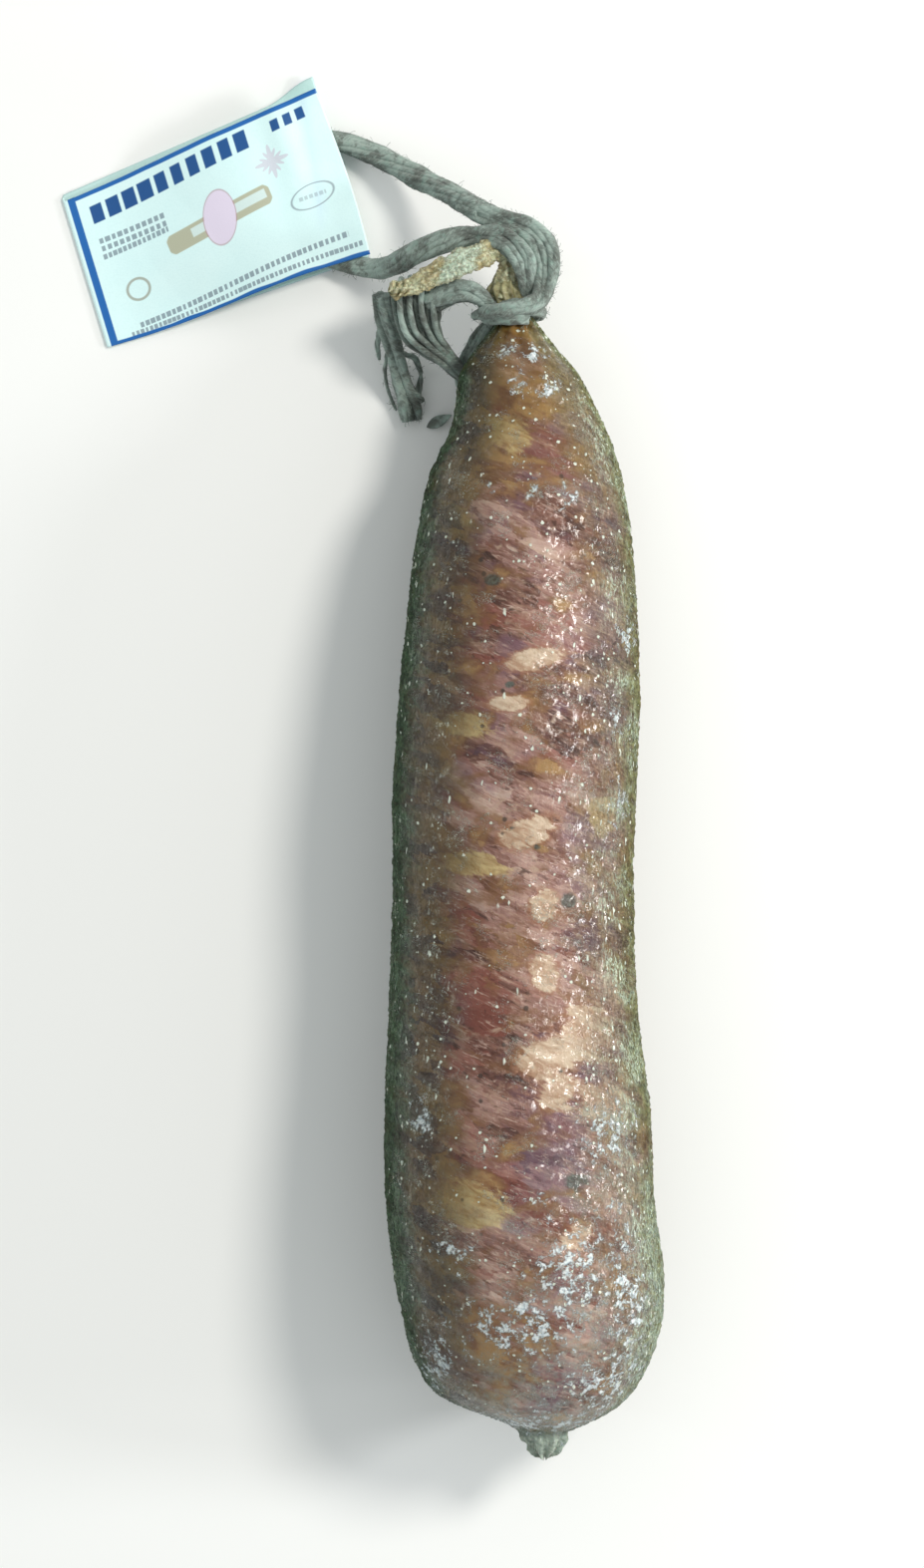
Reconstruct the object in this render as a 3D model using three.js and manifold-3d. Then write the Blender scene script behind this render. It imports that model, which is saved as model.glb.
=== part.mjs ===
// A whole cured sausage lying on a surface, with the twine that ties its neck and a folded
// paper label held in the twine's hanging loop.
//
// Millimetres, +Z up. +Y runs along the sausage from its rounded foot to its tied neck. The
// origin is the middle of the sausage's length and width, on the surface that it rests on.

import * as THREE from "three";
import { mergeVertices } from "three/addons/utils/BufferGeometryUtils.js";
import Module from "manifold-3d";

const wasm = await Module();
wasm.setup();

// Sausage
const BODY_LENGTH = 259; // from the tie to the end of the gathered casing at the foot
const GIRTH_DIAMETER = 60.4; // at the widest place, near the foot
const NECK_DIAMETER = 7.2; // the gathered casing under the tie
const NECK_HEIGHT = 19; // middle of the neck above the surface
const FOOT_HEIGHT = 25; // middle of the foot above the surface
const FLAT_DEPTH = 1; // how far the underside is pressed flat where it rests
const RESTING_BLEND = 2; // rounds the change from the drooping ends to the resting middle

// Dried casing beyond the tie
const TAIL_RISE = 16; // how far the folded tail reaches past the tie
const TUFT_LENGTH = 9.6; // pleated tuft that stands out of the tie
const TAIL_WIDTH = 4.8;
const TAIL_THICKNESS = 1.8;

// Twine
const TWINE_DIAMETER = 5; // a hank of soft yarns laid side by side
const STRAND_DIAMETER = 4.2; // the same hank where a wrap pulls it tight
const CLEARANCE = 0.3; // air between pieces that touch

// Folded paper label
const LABEL_LENGTH = 62.5;
const LABEL_WIDTH = 39;
const PAPER = 0.4; // thickness of one leaf
const LABEL_TURN = THREE.MathUtils.degToRad(23.4); // of its long edge, from +X
const LABEL_MOUTH = new THREE.Vector2(-43, 37); // middle of its open end, seen from the tie

// Fineness of the meshes
const BODY_SIDES = 44;
const BODY_RINGS = 66;
const TWINE_SIDES = 10;
const TWINE_STEP = 2.4; // length of one step along a twine, in diameters

const GIRTH_RADIUS = GIRTH_DIAMETER / 2;
const NECK_RADIUS = NECK_DIAMETER / 2;
const TIE_Y = (BODY_LENGTH - TAIL_RISE) / 2;

// The outline of the body, from the tie to the foot: the share of the length, how full the body
// is there (0 is the neck, 1 the widest place), and how far its middle lies to the side.
const BODY_OUTLINE = [
  [0, 0, -2.2],
  [0.011, 0.056, -1.7],
  [0.033, 0.222, -1.6],
  [0.055, 0.37, -0.8],
  [0.098, 0.51, 1],
  [0.142, 0.675, 0.5],
  [0.207, 0.783, 0],
  [0.337, 0.874, -1.1],
  [0.424, 0.885, -2.3],
  [0.511, 0.876, -2.5],
  [0.598, 0.908, -2.6],
  [0.684, 0.97, -1.7],
  [0.771, 0.992, -0.9],
  [0.83, 1, 0.8],
  [0.87, 0.968, 1.8],
  [0.906, 0.89, 2],
  [0.935, 0.755, 2],
  [0.953, 0.57, 2.4],
  [0.967, 0.3, 3.4],
  [0.976, 0.09, 4.4],
  [0.99, 0.035, 4.7],
  [1, -0.05, 4.7],
];

// The pleated tuft above the tie: the share of its length, its radius as a share of the neck's,
// and its middle's place to the side.
const TUFT_OUTLINE = [
  [1, 0.3, -3.5],
  [0.9, 0.6, -3.6],
  [0.58, 1.14, -4.2],
  [0.25, 1.06, -3.3],
];

// The routes below start from the middle of the tie: right, along towards the neck's end, up.
const TAIL_ROUTE = [
  [-4, 4, 1],
  [-3.5, 8, 2],
  [-3.4, 11.6, 2.5],
  [-4.6, 13.4, 3.6],
  [-7, 13.4, 4.8],
  [-10.5, 12.4, 6],
  [-16, 10.4, 6.5],
  [-21.5, 8, 6],
  [-27, 6, 5],
  [-31.3, 5, 4],
];

// The loop's height is that of its underside above the paper of the label's lower leaf.
const LOOP_ROUTE = [
  [-9.5, 23.2, 18],
  [-13, 25.6, 15.5],
  [-19, 29.8, 9.5],
  [-26, 34.2, 4.5],
  [-33, 38.4, 1.4],
  [-41, 41.6, 0],
  [-48, 42.2, 0],
  [-53.5, 38.5, 0],
  [-55.4, 30.5, 0],
  [-53.4, 22.4, 0],
  [-48, 16.8, 0],
  [-40.5, 13.9, 0],
  [-34.5, 12.5, 2.5],
  [-29.8, 12.6, 7.5],
  [-25, 14.4, 13],
  [-19, 16.4, 16.5],
  [-14, 17.6, 17.6],
  [-9.5, 18, 18],
];

// The free end hangs from the left of the knot, and its height is that of its underside above
// the surface that it comes down to.
const END_ROUTE = [
  [-32.3, 4.6, 16.6],
  [-31.6, 0.6, 13.8],
  [-30.4, -4, 10],
  [-29, -9, 6],
  [-27.6, -14.5, 1.9],
  [-26.4, -19, 0.3],
  [-25.8, -22.6, 0.2],
];

// The wraps of the knot, each with its own diameter.
const WRAPS = {
  outer: [
    [-8.8, 22.7, 2],
    [-5.5, 20.8, 3.4],
    [-1, 20.2, 5],
    [4, 18.5, 5],
    [7.4, 15, 4],
    [8.6, 10.5, 3],
    [7.8, 6, 3.4],
    [4.6, 2.6, 5],
    [0, 1, 6.6],
    [-4.5, 0.4, 6.8],
    [-8.4, 0, 4],
    [-11, -0.6, 0],
  ],
  inner: [
    [-8.8, 18, 2],
    [-5, 18, 3.6],
    [-0.6, 16.2, 5],
    [2.4, 13.2, 5],
    [3.2, 9.6, 4],
    [2.2, 6, 3],
    [1.6, 3, 1],
  ],
  middle: [
    [-20, 4.4, 2],
    [-16, 6, 3.4],
    [-12.4, 6, 4],
    [-9.4, 5, 4],
    [-7.2, 2.8, 3],
    [-5.8, 0.4, 1.6],
  ],
  leftFirst: [
    [-27.6, 6, 1.6],
    [-28, 1, 0.6],
    [-26, -3.6, -1.6],
    [-22, -6.6, -4],
    [-17.4, -8.4, -7],
    [-13.4, -10.4, -10.6],
    [-10, -12.6, -13.4],
    [-8, -14.4, -14.4],
  ],
  leftSecond: [
    [-23.6, 6, 1.8],
    [-23.8, 1, 1],
    [-22.4, -3.4, -1.6],
    [-19.4, -6.6, -4.6],
    [-16, -8.6, -7.6],
  ],
  leftThird: [
    [-19.6, 5.6, 1.8],
    [-19, 1, 1],
    [-18.6, -3.4, -2],
    [-17.6, -7, -5.6],
    [-15.6, -9.4, -8.8],
  ],
  behind: [
    [-5.5, -1, -4.6],
    [-8.8, -3.2, -7],
    [-11.6, -7, -10],
    [-13.4, -11.4, -12.8],
    [-13.4, -14.6, -14.6],
    [-9.6, -15, -15],
    [-5, -13.4, -15],
  ],
};

// Joins the doubled vertices of a geometry and makes it a solid that can be joined and cut.
function solidOf(geometry) {
  const bare = geometry.clone();
  bare.deleteAttribute("normal");
  bare.deleteAttribute("uv");
  const merged = mergeVertices(bare, 1e-4);
  const vertProperties = new Float32Array(merged.getAttribute("position").array);
  const triVerts = new Uint32Array(merged.index.array);
  return new wasm.Manifold(new wasm.Mesh({ numProp: 3, vertProperties, triVerts }));
}

function geometryOf(solid) {
  const { vertProperties, triVerts } = solid.getMesh();
  const geometry = new THREE.BufferGeometry();
  geometry.setAttribute("position", new THREE.BufferAttribute(vertProperties, 3));
  geometry.setIndex(new THREE.BufferAttribute(triVerts, 1));
  const flat = geometry.toNonIndexed();
  flat.computeVertexNormals();
  return flat;
}

const joined = (solids) => solids.reduce((whole, next) => whole.add(next));

const curveThrough = (points) =>
  new THREE.CatmullRomCurve3(points.map((p) => new THREE.Vector3(...p)), false, "centripetal");

// The middle of the body lies as low as its girth lets it. Its slim ends stay higher, on the
// line from the neck to the foot.
function middleHeight(share, radius) {
  const resting = radius - FLAT_DEPTH;
  const held = THREE.MathUtils.lerp(NECK_HEIGHT, FOOT_HEIGHT, THREE.MathUtils.clamp(share, 0, 1));
  return (resting + held + Math.hypot(resting - held, RESTING_BLEND)) / 2;
}

// A closed skin through rings of equal count, each across the Y axis, with a point at each end.
function skinOf(rings) {
  const positions = [];
  const corner = ({ x, y, z, radius }, turn) => [
    x + radius * Math.cos(turn),
    y,
    Math.max(0, z + radius * Math.sin(turn)),
  ];
  const triangle = (a, b, c) => positions.push(...a, ...b, ...c);
  const turnOf = (side) => ((side % BODY_SIDES) / BODY_SIDES) * 2 * Math.PI;
  const first = rings[0];
  const last = rings[rings.length - 1];
  for (let side = 0; side < BODY_SIDES; side += 1) {
    const near = turnOf(side);
    const far = turnOf(side + 1);
    triangle([first.x, first.y, first.z], corner(first, far), corner(first, near));
    triangle([last.x, last.y, last.z], corner(last, near), corner(last, far));
    for (let i = 1; i < rings.length; i += 1) {
      triangle(corner(rings[i - 1], near), corner(rings[i - 1], far), corner(rings[i], far));
      triangle(corner(rings[i - 1], near), corner(rings[i], far), corner(rings[i], near));
    }
  }
  const skin = new THREE.BufferGeometry();
  skin.setAttribute("position", new THREE.Float32BufferAttribute(positions, 3));
  return solidOf(skin);
}

// The body and its tuft, from the end of the tuft to the foot, grown outwards by `grow`.
function bodySolid(grow = 0) {
  const tuft = TUFT_OUTLINE.map(([share, radius, x]) => [
    x,
    TIE_Y + share * TUFT_LENGTH,
    radius * NECK_RADIUS,
  ]);
  const body = BODY_OUTLINE.map(([share, fullness, x]) => [
    x,
    TIE_Y - share * BODY_LENGTH,
    NECK_RADIUS + fullness * (GIRTH_RADIUS - NECK_RADIUS),
  ]);
  const outline = curveThrough([...tuft, ...body]);
  const rings = outline.getPoints(BODY_RINGS).map(({ x, y, z: radius }) => {
    const z = middleHeight((TIE_Y - y) / BODY_LENGTH, radius);
    return { x, y, z, radius: radius + grow };
  });
  return skinOf(rings);
}

// An oval or round section as a shape of TWINE_SIDES corners.
function sectionOf(width, thickness) {
  const shape = new THREE.Shape();
  for (let side = 0; side < TWINE_SIDES; side += 1) {
    const turn = ((side + 0.5) / TWINE_SIDES) * 2 * Math.PI;
    const place = [(width / 2) * Math.cos(turn), (thickness / 2) * Math.sin(turn)];
    if (side === 0) shape.moveTo(...place);
    else shape.lineTo(...place);
  }
  return shape;
}

// The end of a route, moved `by` further away from the point beside it.
function movedOut(end, beside, by) {
  const away = new THREE.Vector3(...end).sub(new THREE.Vector3(...beside)).setLength(by);
  return [end[0] + away.x, end[1] + away.y, end[2] + away.z];
}

// A tube along a route. `grow` makes it that much larger all over, with the same steps.
function alongRoute(route, width, { thickness = width, grow = 0 } = {}) {
  const steps = Math.ceil(curveThrough(route).getLength() / (TWINE_STEP * Math.min(width, thickness)));
  const extrudePath = curveThrough([
    movedOut(route[0], route[1], grow),
    ...route.slice(1, -1),
    movedOut(route[route.length - 1], route[route.length - 2], grow),
  ]);
  const section = sectionOf(width + 2 * grow, thickness + 2 * grow);
  return solidOf(new THREE.ExtrudeGeometry(section, { steps, extrudePath }));
}

const fromTie = (route) => route.map(([x, y, z]) => [x, TIE_Y + y, NECK_HEIGHT + z]);

const tailSolid = (grow = 0) =>
  alongRoute(fromTie(TAIL_ROUTE), TAIL_WIDTH, { thickness: TAIL_THICKNESS, grow });

const loopRoute = LOOP_ROUTE.map(([x, y, lift]) => [
  x,
  TIE_Y + y,
  PAPER + CLEARANCE + TWINE_DIAMETER / 2 + lift,
]);

const endRoute = END_ROUTE.map(([x, y, lift]) => [x, TIE_Y + y, TWINE_DIAMETER / 2 + lift]);

const loopSolid = (grow = 0) => alongRoute(loopRoute, TWINE_DIAMETER, { grow });

// The free end, cut back from the casing's tail that lies over its start.
const endSolid = (grow = 0) =>
  alongRoute(endRoute, TWINE_DIAMETER, { grow }).subtract(tailSolid(CLEARANCE - grow));

// The knot: every wrap joined, cut back from the sausage, the loop and the free end.
function knotSolid() {
  const wraps = Object.values(WRAPS).map((route) => alongRoute(fromTie(route), STRAND_DIAMETER));
  const ringRadius = NECK_RADIUS + STRAND_DIAMETER / 2;
  const ring = new THREE.TorusGeometry(ringRadius, STRAND_DIAMETER / 2, TWINE_SIDES, 4 * TWINE_SIDES);
  ring.rotateX(Math.PI / 2);
  ring.translate(BODY_OUTLINE[0][2], TIE_Y, NECK_HEIGHT);
  return joined([...wraps, solidOf(ring)])
    .subtract(bodySolid(CLEARANCE))
    .subtract(tailSolid(CLEARANCE))
    .subtract(loopSolid(CLEARANCE))
    .subtract(endSolid(CLEARANCE));
}

// The label is one sheet folded at its far end. Its upper leaf rises over the loop's bend.
function labelGeometry() {
  const mouth = new THREE.Vector2(LABEL_MOUTH.x, TIE_Y + LABEL_MOUTH.y);
  const along = new THREE.Vector2(Math.cos(LABEL_TURN), Math.sin(LABEL_TURN));
  const depths = loopRoute.map(([x, y]) => new THREE.Vector2(x, y).sub(mouth).dot(along));
  const bend = Math.min(...depths) - TWINE_DIAMETER / 2 - CLEARANCE;
  const crest = 2 * PAPER + TWINE_DIAMETER + 2 * CLEARANCE;
  const glued = (bend - LABEL_LENGTH) / 2;
  const slope = (glued - bend) / 2;
  const side = new THREE.Shape();
  side.moveTo(0, 0);
  side.lineTo(0, PAPER);
  side.lineTo(glued, PAPER);
  side.bezierCurveTo(glued - slope, PAPER, bend + slope, crest - PAPER, bend, crest - PAPER);
  side.lineTo(0, crest - PAPER);
  side.lineTo(0, crest);
  side.lineTo(bend, crest);
  side.bezierCurveTo(bend + slope, crest, glued - slope, 2 * PAPER, glued, 2 * PAPER);
  side.lineTo(-LABEL_LENGTH, 2 * PAPER);
  side.lineTo(-LABEL_LENGTH, 0);
  side.closePath();
  const label = new THREE.ExtrudeGeometry(side, {
    depth: LABEL_WIDTH,
    bevelEnabled: false,
    curveSegments: 8,
  });
  label.rotateX(Math.PI / 2);
  label.translate(0, LABEL_WIDTH / 2, 0);
  label.rotateZ(LABEL_TURN);
  label.translate(mouth.x, mouth.y, 0);
  return label;
}

function piece(name, geometry, color, roughness) {
  const material = new THREE.MeshStandardMaterial({ color, roughness, metalness: 0 });
  const mesh = new THREE.Mesh(geometry, material);
  mesh.name = name;
  return mesh;
}

const TWINE_COLOUR = 0x76857b;

const sausage = new THREE.Group();
sausage.add(
  piece("sausage", geometryOf(bodySolid().add(tailSolid())), 0x7d5a48, 0.35),
  piece("twine_knot", geometryOf(knotSolid()), TWINE_COLOUR, 0.95),
  piece("twine_loop", geometryOf(loopSolid()), TWINE_COLOUR, 0.95),
  piece("twine_end", geometryOf(endSolid()), TWINE_COLOUR, 0.95),
  piece("label", labelGeometry(), 0xdff2f2, 0.6),
);

export default sausage;
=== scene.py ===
"""A whole dry-cured sausage with its tying twine and a folded paper label, seen from above.

Sizes are in metres, written as millimetres times MM. Outlines, routes, patches and the label's own
sizes are in plain millimetres, and become metres where they are used. +Y runs from foot to neck.
"""

import math

import bpy
import numpy as np
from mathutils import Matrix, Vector


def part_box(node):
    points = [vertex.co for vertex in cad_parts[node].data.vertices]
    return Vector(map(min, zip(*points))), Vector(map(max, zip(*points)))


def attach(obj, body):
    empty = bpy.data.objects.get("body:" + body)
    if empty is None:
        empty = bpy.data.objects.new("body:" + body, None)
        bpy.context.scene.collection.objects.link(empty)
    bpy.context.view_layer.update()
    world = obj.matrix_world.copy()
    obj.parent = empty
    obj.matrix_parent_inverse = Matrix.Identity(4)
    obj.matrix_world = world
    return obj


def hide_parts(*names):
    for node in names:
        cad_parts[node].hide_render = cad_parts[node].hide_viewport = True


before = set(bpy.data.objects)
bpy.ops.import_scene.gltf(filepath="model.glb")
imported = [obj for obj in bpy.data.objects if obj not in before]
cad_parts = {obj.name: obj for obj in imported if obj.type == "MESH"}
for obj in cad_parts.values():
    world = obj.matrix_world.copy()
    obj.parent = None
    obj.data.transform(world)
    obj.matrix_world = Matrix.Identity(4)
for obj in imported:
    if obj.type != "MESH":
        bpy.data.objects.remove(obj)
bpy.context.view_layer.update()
MM = 0.001


# ---------------------------------------------------------------- floor, light and camera
# A pale studio floor under the sausage in an even, pale surround. A warm key lamp stands at the
# upper right, and small low lamps at both sides glance off the casing. The camera looks down.

CAMERA_HEIGHT = 900 * MM
CAMERA_PLACE = (-14.0 * MM, 14.7 * MM)
LENS_MM = 88.8
SENSOR_MM = 36


def linear(hexed):
    """A colour written as six hex digits, as the linear colour that Blender works in."""
    parts = [int(hexed[i : i + 2], 16) / 255 for i in (0, 2, 4)]
    return tuple(c / 12.92 if c < 0.04045 else ((c + 0.055) / 1.055) ** 2.4 for c in parts) + (1,)


def show(thing):
    bpy.context.scene.collection.objects.link(thing)
    return thing


def mesh_object(name, points, faces=(), edges=()):
    mesh = bpy.data.meshes.new(name)
    mesh.from_pydata([tuple(p) for p in points], list(edges), list(faces))
    mesh.update()
    return show(bpy.data.objects.new(name, mesh))


scene = bpy.context.scene
scene.view_settings.view_transform = "Standard"

FLOOR_REACH = 4.0
corners = [(-1, -1), (1, -1), (1, 1), (-1, 1)]
floor = mesh_object("floor", [(x * FLOOR_REACH, y * FLOOR_REACH, 0) for x, y in corners], [(0, 1, 2, 3)])
floor_paint = bpy.data.materials.new("studio_floor")
floor_paint.use_nodes = True
floor_shader = floor_paint.node_tree.nodes["Principled BSDF"]
floor_shader.inputs["Base Color"].default_value = linear("f7f8f7")
floor_shader.inputs["Roughness"].default_value = 0.9
floor_shader.inputs["Specular IOR Level"].default_value = 0.1
floor.data.materials.append(floor_paint)

world = bpy.data.worlds.new("studio")
scene.world = world
world.use_nodes = True
world.node_tree.nodes["Background"].inputs["Color"].default_value = linear("f4f8f8")
world.node_tree.nodes["Background"].inputs["Strength"].default_value = 0.62

# Where each lamp stands, its width, its watts and its colour. All of them face one place.
LAMPS = {
    "key": ((0.7, 0.5, 1.0), 0.3, 9, "fffaf2"),
    "right": ((0.95, 0.05, 0.42), 0.2, 4.2, "ffffff"),
    "right_low": ((1.0, -0.15, 0.14), 0.12, 1.6, "ffffff"),
    "left": ((-0.98, 0.1, 0.2), 0.08, 0.7, "eafff4"),
}
LAMP_TARGET = Vector((0, 0, 0.02))
for name, (place, size, watts, colour) in LAMPS.items():
    lamp = bpy.data.lights.new(name, "AREA")
    lamp.shape = "DISK"
    lamp.size = size
    lamp.energy = watts
    lamp.color = linear(colour)[:3]
    stand = show(bpy.data.objects.new(name, lamp))
    stand.location = place
    stand.rotation_euler = (LAMP_TARGET - Vector(place)).to_track_quat("-Z", "Y").to_euler()

camera_data = bpy.data.cameras.new("camera")
camera_data.lens = LENS_MM
camera_data.sensor_width = SENSOR_MM
camera = show(bpy.data.objects.new("camera", camera_data))
camera.location = (*CAMERA_PLACE, CAMERA_HEIGHT)
scene.camera = camera


# ---------------------------------------------------------------- sausage
# Minced meat, fat and pepper in a natural casing, cured until the casing shrank on it and
# wrinkled. The casing is gathered at the foot, and pleated where the twine ties the neck.

BODY_LENGTH = 259 * MM
GIRTH_RADIUS = 30.2 * MM
NECK_RADIUS = 3.6 * MM
NECK_HEIGHT = 19 * MM
FOOT_HEIGHT = 25 * MM
FLAT_DEPTH = 1 * MM
RESTING_BLEND = 2 * MM
TUFT_LENGTH = 9.6 * MM
NECK_PLEATS = 13
FOOT_PLEATS = 8
SEAM_GAP = 0.002 * MM
TIE_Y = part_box("sausage")[0].y + BODY_LENGTH

# Share of the length from the tie, fullness from neck (0) to girth (1), and sideways middle.
BODY_OUTLINE = [
    (0, 0, -2.2),
    (0.011, 0.056, -1.7),
    (0.033, 0.222, -1.6),
    (0.055, 0.37, -0.8),
    (0.098, 0.51, 1),
    (0.142, 0.675, 0.5),
    (0.207, 0.783, 0),
    (0.337, 0.874, -1.1),
    (0.424, 0.885, -2.3),
    (0.511, 0.876, -2.5),
    (0.598, 0.908, -2.6),
    (0.684, 0.97, -1.7),
    (0.771, 0.992, -0.9),
    (0.83, 1, 0.8),
    (0.87, 0.968, 1.8),
    (0.906, 0.89, 2),
    (0.935, 0.755, 2),
    (0.953, 0.57, 2.4),
    (0.967, 0.3, 3.4),
    (0.976, 0.09, 4.2),
    (0.985, 0.04, 4.7),
    (0.991, 0.01, 4.8),
    (0.9965, -0.05, 4.8),
    (1, -NECK_RADIUS / (GIRTH_RADIUS - NECK_RADIUS), 4.7),
]

# Share of the tuft's length above the tie, radius as a share of the neck's, sideways middle.
TUFT_OUTLINE = [
    (1, 0, -3.5),
    (0.99, 0.3, -3.5),
    (0.9, 0.6, -3.6),
    (0.58, 1.14, -4.2),
    (0.25, 1.06, -3.3),
]


class Amount:
    """A number inside a node tree. Working with it adds the nodes that do the sum."""

    def __init__(self, socket):
        self.socket = socket

    def do(self, operation, *others):
        made = self.socket.id_data.nodes.new("ShaderNodeMath")
        made.operation = operation
        for place, value in enumerate([self, *others]):
            plug(value, made.inputs[place])
        return Amount(made.outputs[0])

    def __add__(self, other):
        return self.do("ADD", other)

    def __sub__(self, other):
        return self.do("SUBTRACT", other)

    def __mul__(self, other):
        return self.do("MULTIPLY", other)

    def __truediv__(self, other):
        return self.do("DIVIDE", other)

    __radd__ = __add__
    __rmul__ = __mul__

    def ramp(self, low, high, first=0.0, last=1.0):
        """Rises smoothly from first to last as the amount goes from low to high."""
        made = self.socket.id_data.nodes.new("ShaderNodeMapRange")
        made.interpolation_type = "SMOOTHSTEP"
        for place, value in enumerate([self, low, high, first, last]):
            plug(value, made.inputs[place])
        return Amount(made.outputs[0])


def plug(value, socket):
    """Links a value to a socket, or sets it there if it is a plain one."""
    source = value.socket if isinstance(value, Amount) else value
    if isinstance(source, bpy.types.NodeSocket):
        socket.id_data.links.new(source, socket)
    else:
        socket.default_value = source


def node(tree, kind, inputs=None, **settings):
    """A new node with its settings, and its inputs plugged by name or by number."""
    made = tree.nodes.new(kind)
    for name, value in settings.items():
        setattr(made, name, value)
    for name, value in (inputs or {}).items():
        plug(value, made.inputs[name])
    return made


def vector(tree, x, y, z):
    return node(tree, "ShaderNodeCombineXYZ", {0: x, 1: y, 2: z}).outputs[0]


def vector_math(tree, operation, *sources, **named_inputs):
    """A vector worked out from one or more vectors, and from a Scale where it is named."""
    inputs = {**dict(enumerate(sources)), **named_inputs}
    return node(tree, "ShaderNodeVectorMath", inputs, operation=operation).outputs[0]


def parts_of(source):
    split = node(source.id_data, "ShaderNodeSeparateXYZ", {0: source})
    return [Amount(out) for out in split.outputs]


def scaled(source, x, y, z):
    """A vector stretched by a different amount along each axis."""
    return vector_math(source.id_data, "MULTIPLY", source, (x, y, z))


def in_mm(source):
    """A place in metres, as one in millimetres."""
    return scaled(source, 1 / MM, 1 / MM, 1 / MM)


def grain(source, scale, detail=2.0, roughness=0.5, distortion=0.0):
    """Cloudy noise from 0 to 1."""
    made = node(
        source.id_data,
        "ShaderNodeTexNoise",
        {
            "Vector": source,
            "Scale": scale,
            "Detail": detail,
            "Roughness": roughness,
            "Distortion": distortion,
        },
    )
    return Amount(made.outputs[0])


def thin_lines(cloud, low, high):
    """Fine wandering lines, where a cloudy noise crosses its middle."""
    return (cloud - 0.5).do("ABSOLUTE").ramp(low, high)


def cells(source, scale, feature="F1", output="Distance"):
    """Distance to scattered cells, or another output of the same texture."""
    made = node(source.id_data, "ShaderNodeTexVoronoi", {"Vector": source, "Scale": scale}, feature=feature)
    return made.outputs[output]


def new_tree(name, inputs):
    """A geometry tree with named inputs, and its first and last nodes."""
    tree = bpy.data.node_groups.new(name, "GeometryNodeTree")
    tree.interface.new_socket("Geometry", in_out="INPUT", socket_type="NodeSocketGeometry")
    for label, kind in inputs.items():
        tree.interface.new_socket(label, in_out="INPUT", socket_type="NodeSocket" + kind)
    tree.interface.new_socket("Geometry", in_out="OUTPUT", socket_type="NodeSocketGeometry")
    return tree, tree.nodes.new("NodeGroupInput"), tree.nodes.new("NodeGroupOutput")


def grown(start, tree, **sizes):
    """Runs a geometry tree on an object, and keeps what it makes as the object's plain mesh."""
    modifier = start.modifiers.new("made", "NODES")
    modifier.node_group = tree
    for item in tree.interface.items_tree:
        key = item.name.replace(" ", "_").lower()
        if item.in_out == "INPUT" and key in sizes:
            modifier[item.identifier] = sizes[key]
    depsgraph = bpy.context.evaluated_depsgraph_get()
    made = bpy.data.meshes.new_from_object(
        start.evaluated_get(depsgraph), preserve_all_data_layers=True, depsgraph=depsgraph
    )
    start.modifiers.remove(modifier)
    start.data = made
    return start


def stored(tree, geometry, name, value, kind="FLOAT"):
    """Keeps a value on the points of a geometry under a name."""
    inputs = {"Geometry": geometry, "Name": name, "Value": value}
    return node(tree, "GeometryNodeStoreNamedAttribute", inputs, data_type=kind).outputs[0]


def named(tree, name, kind="FLOAT"):
    """A value that was stored under a name."""
    return node(tree, "GeometryNodeInputNamedAttribute", {"Name": name}, data_type=kind).outputs[0]


def moved(tree, geometry, kind, value):
    """A geometry with a new Position or with an Offset added."""
    return node(tree, "GeometryNodeSetPosition", {"Geometry": geometry, kind: value}).outputs[0]


def position(tree):
    return node(tree, "GeometryNodeInputPosition").outputs[0]


def normal(tree):
    return node(tree, "GeometryNodeInputNormal").outputs[0]


def smooth_curve(tree, geometry, steps):
    """A line of edges as a smooth curve through its points."""
    line = node(tree, "GeometryNodeMeshToCurve", {0: geometry}).outputs[0]
    curve = node(tree, "GeometryNodeCurveSplineType", {0: line}, spline_type="CATMULL_ROM").outputs[0]
    return node(tree, "GeometryNodeSetSplineResolution", {"Geometry": curve, "Resolution": steps}).outputs[0]


def shaded_smooth(tree, geometry):
    return node(tree, "GeometryNodeSetShadeSmooth", {"Geometry": geometry}).outputs[0]


def end_tree(tree, geometry, enter, leave):
    """Ends a tree: its geometry takes the material that came in, and goes out."""
    inputs = {"Geometry": geometry, "Material": enter.outputs["Material"]}
    plug(node(tree, "GeometryNodeSetMaterial", inputs).outputs[0], leave.inputs[0])


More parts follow.
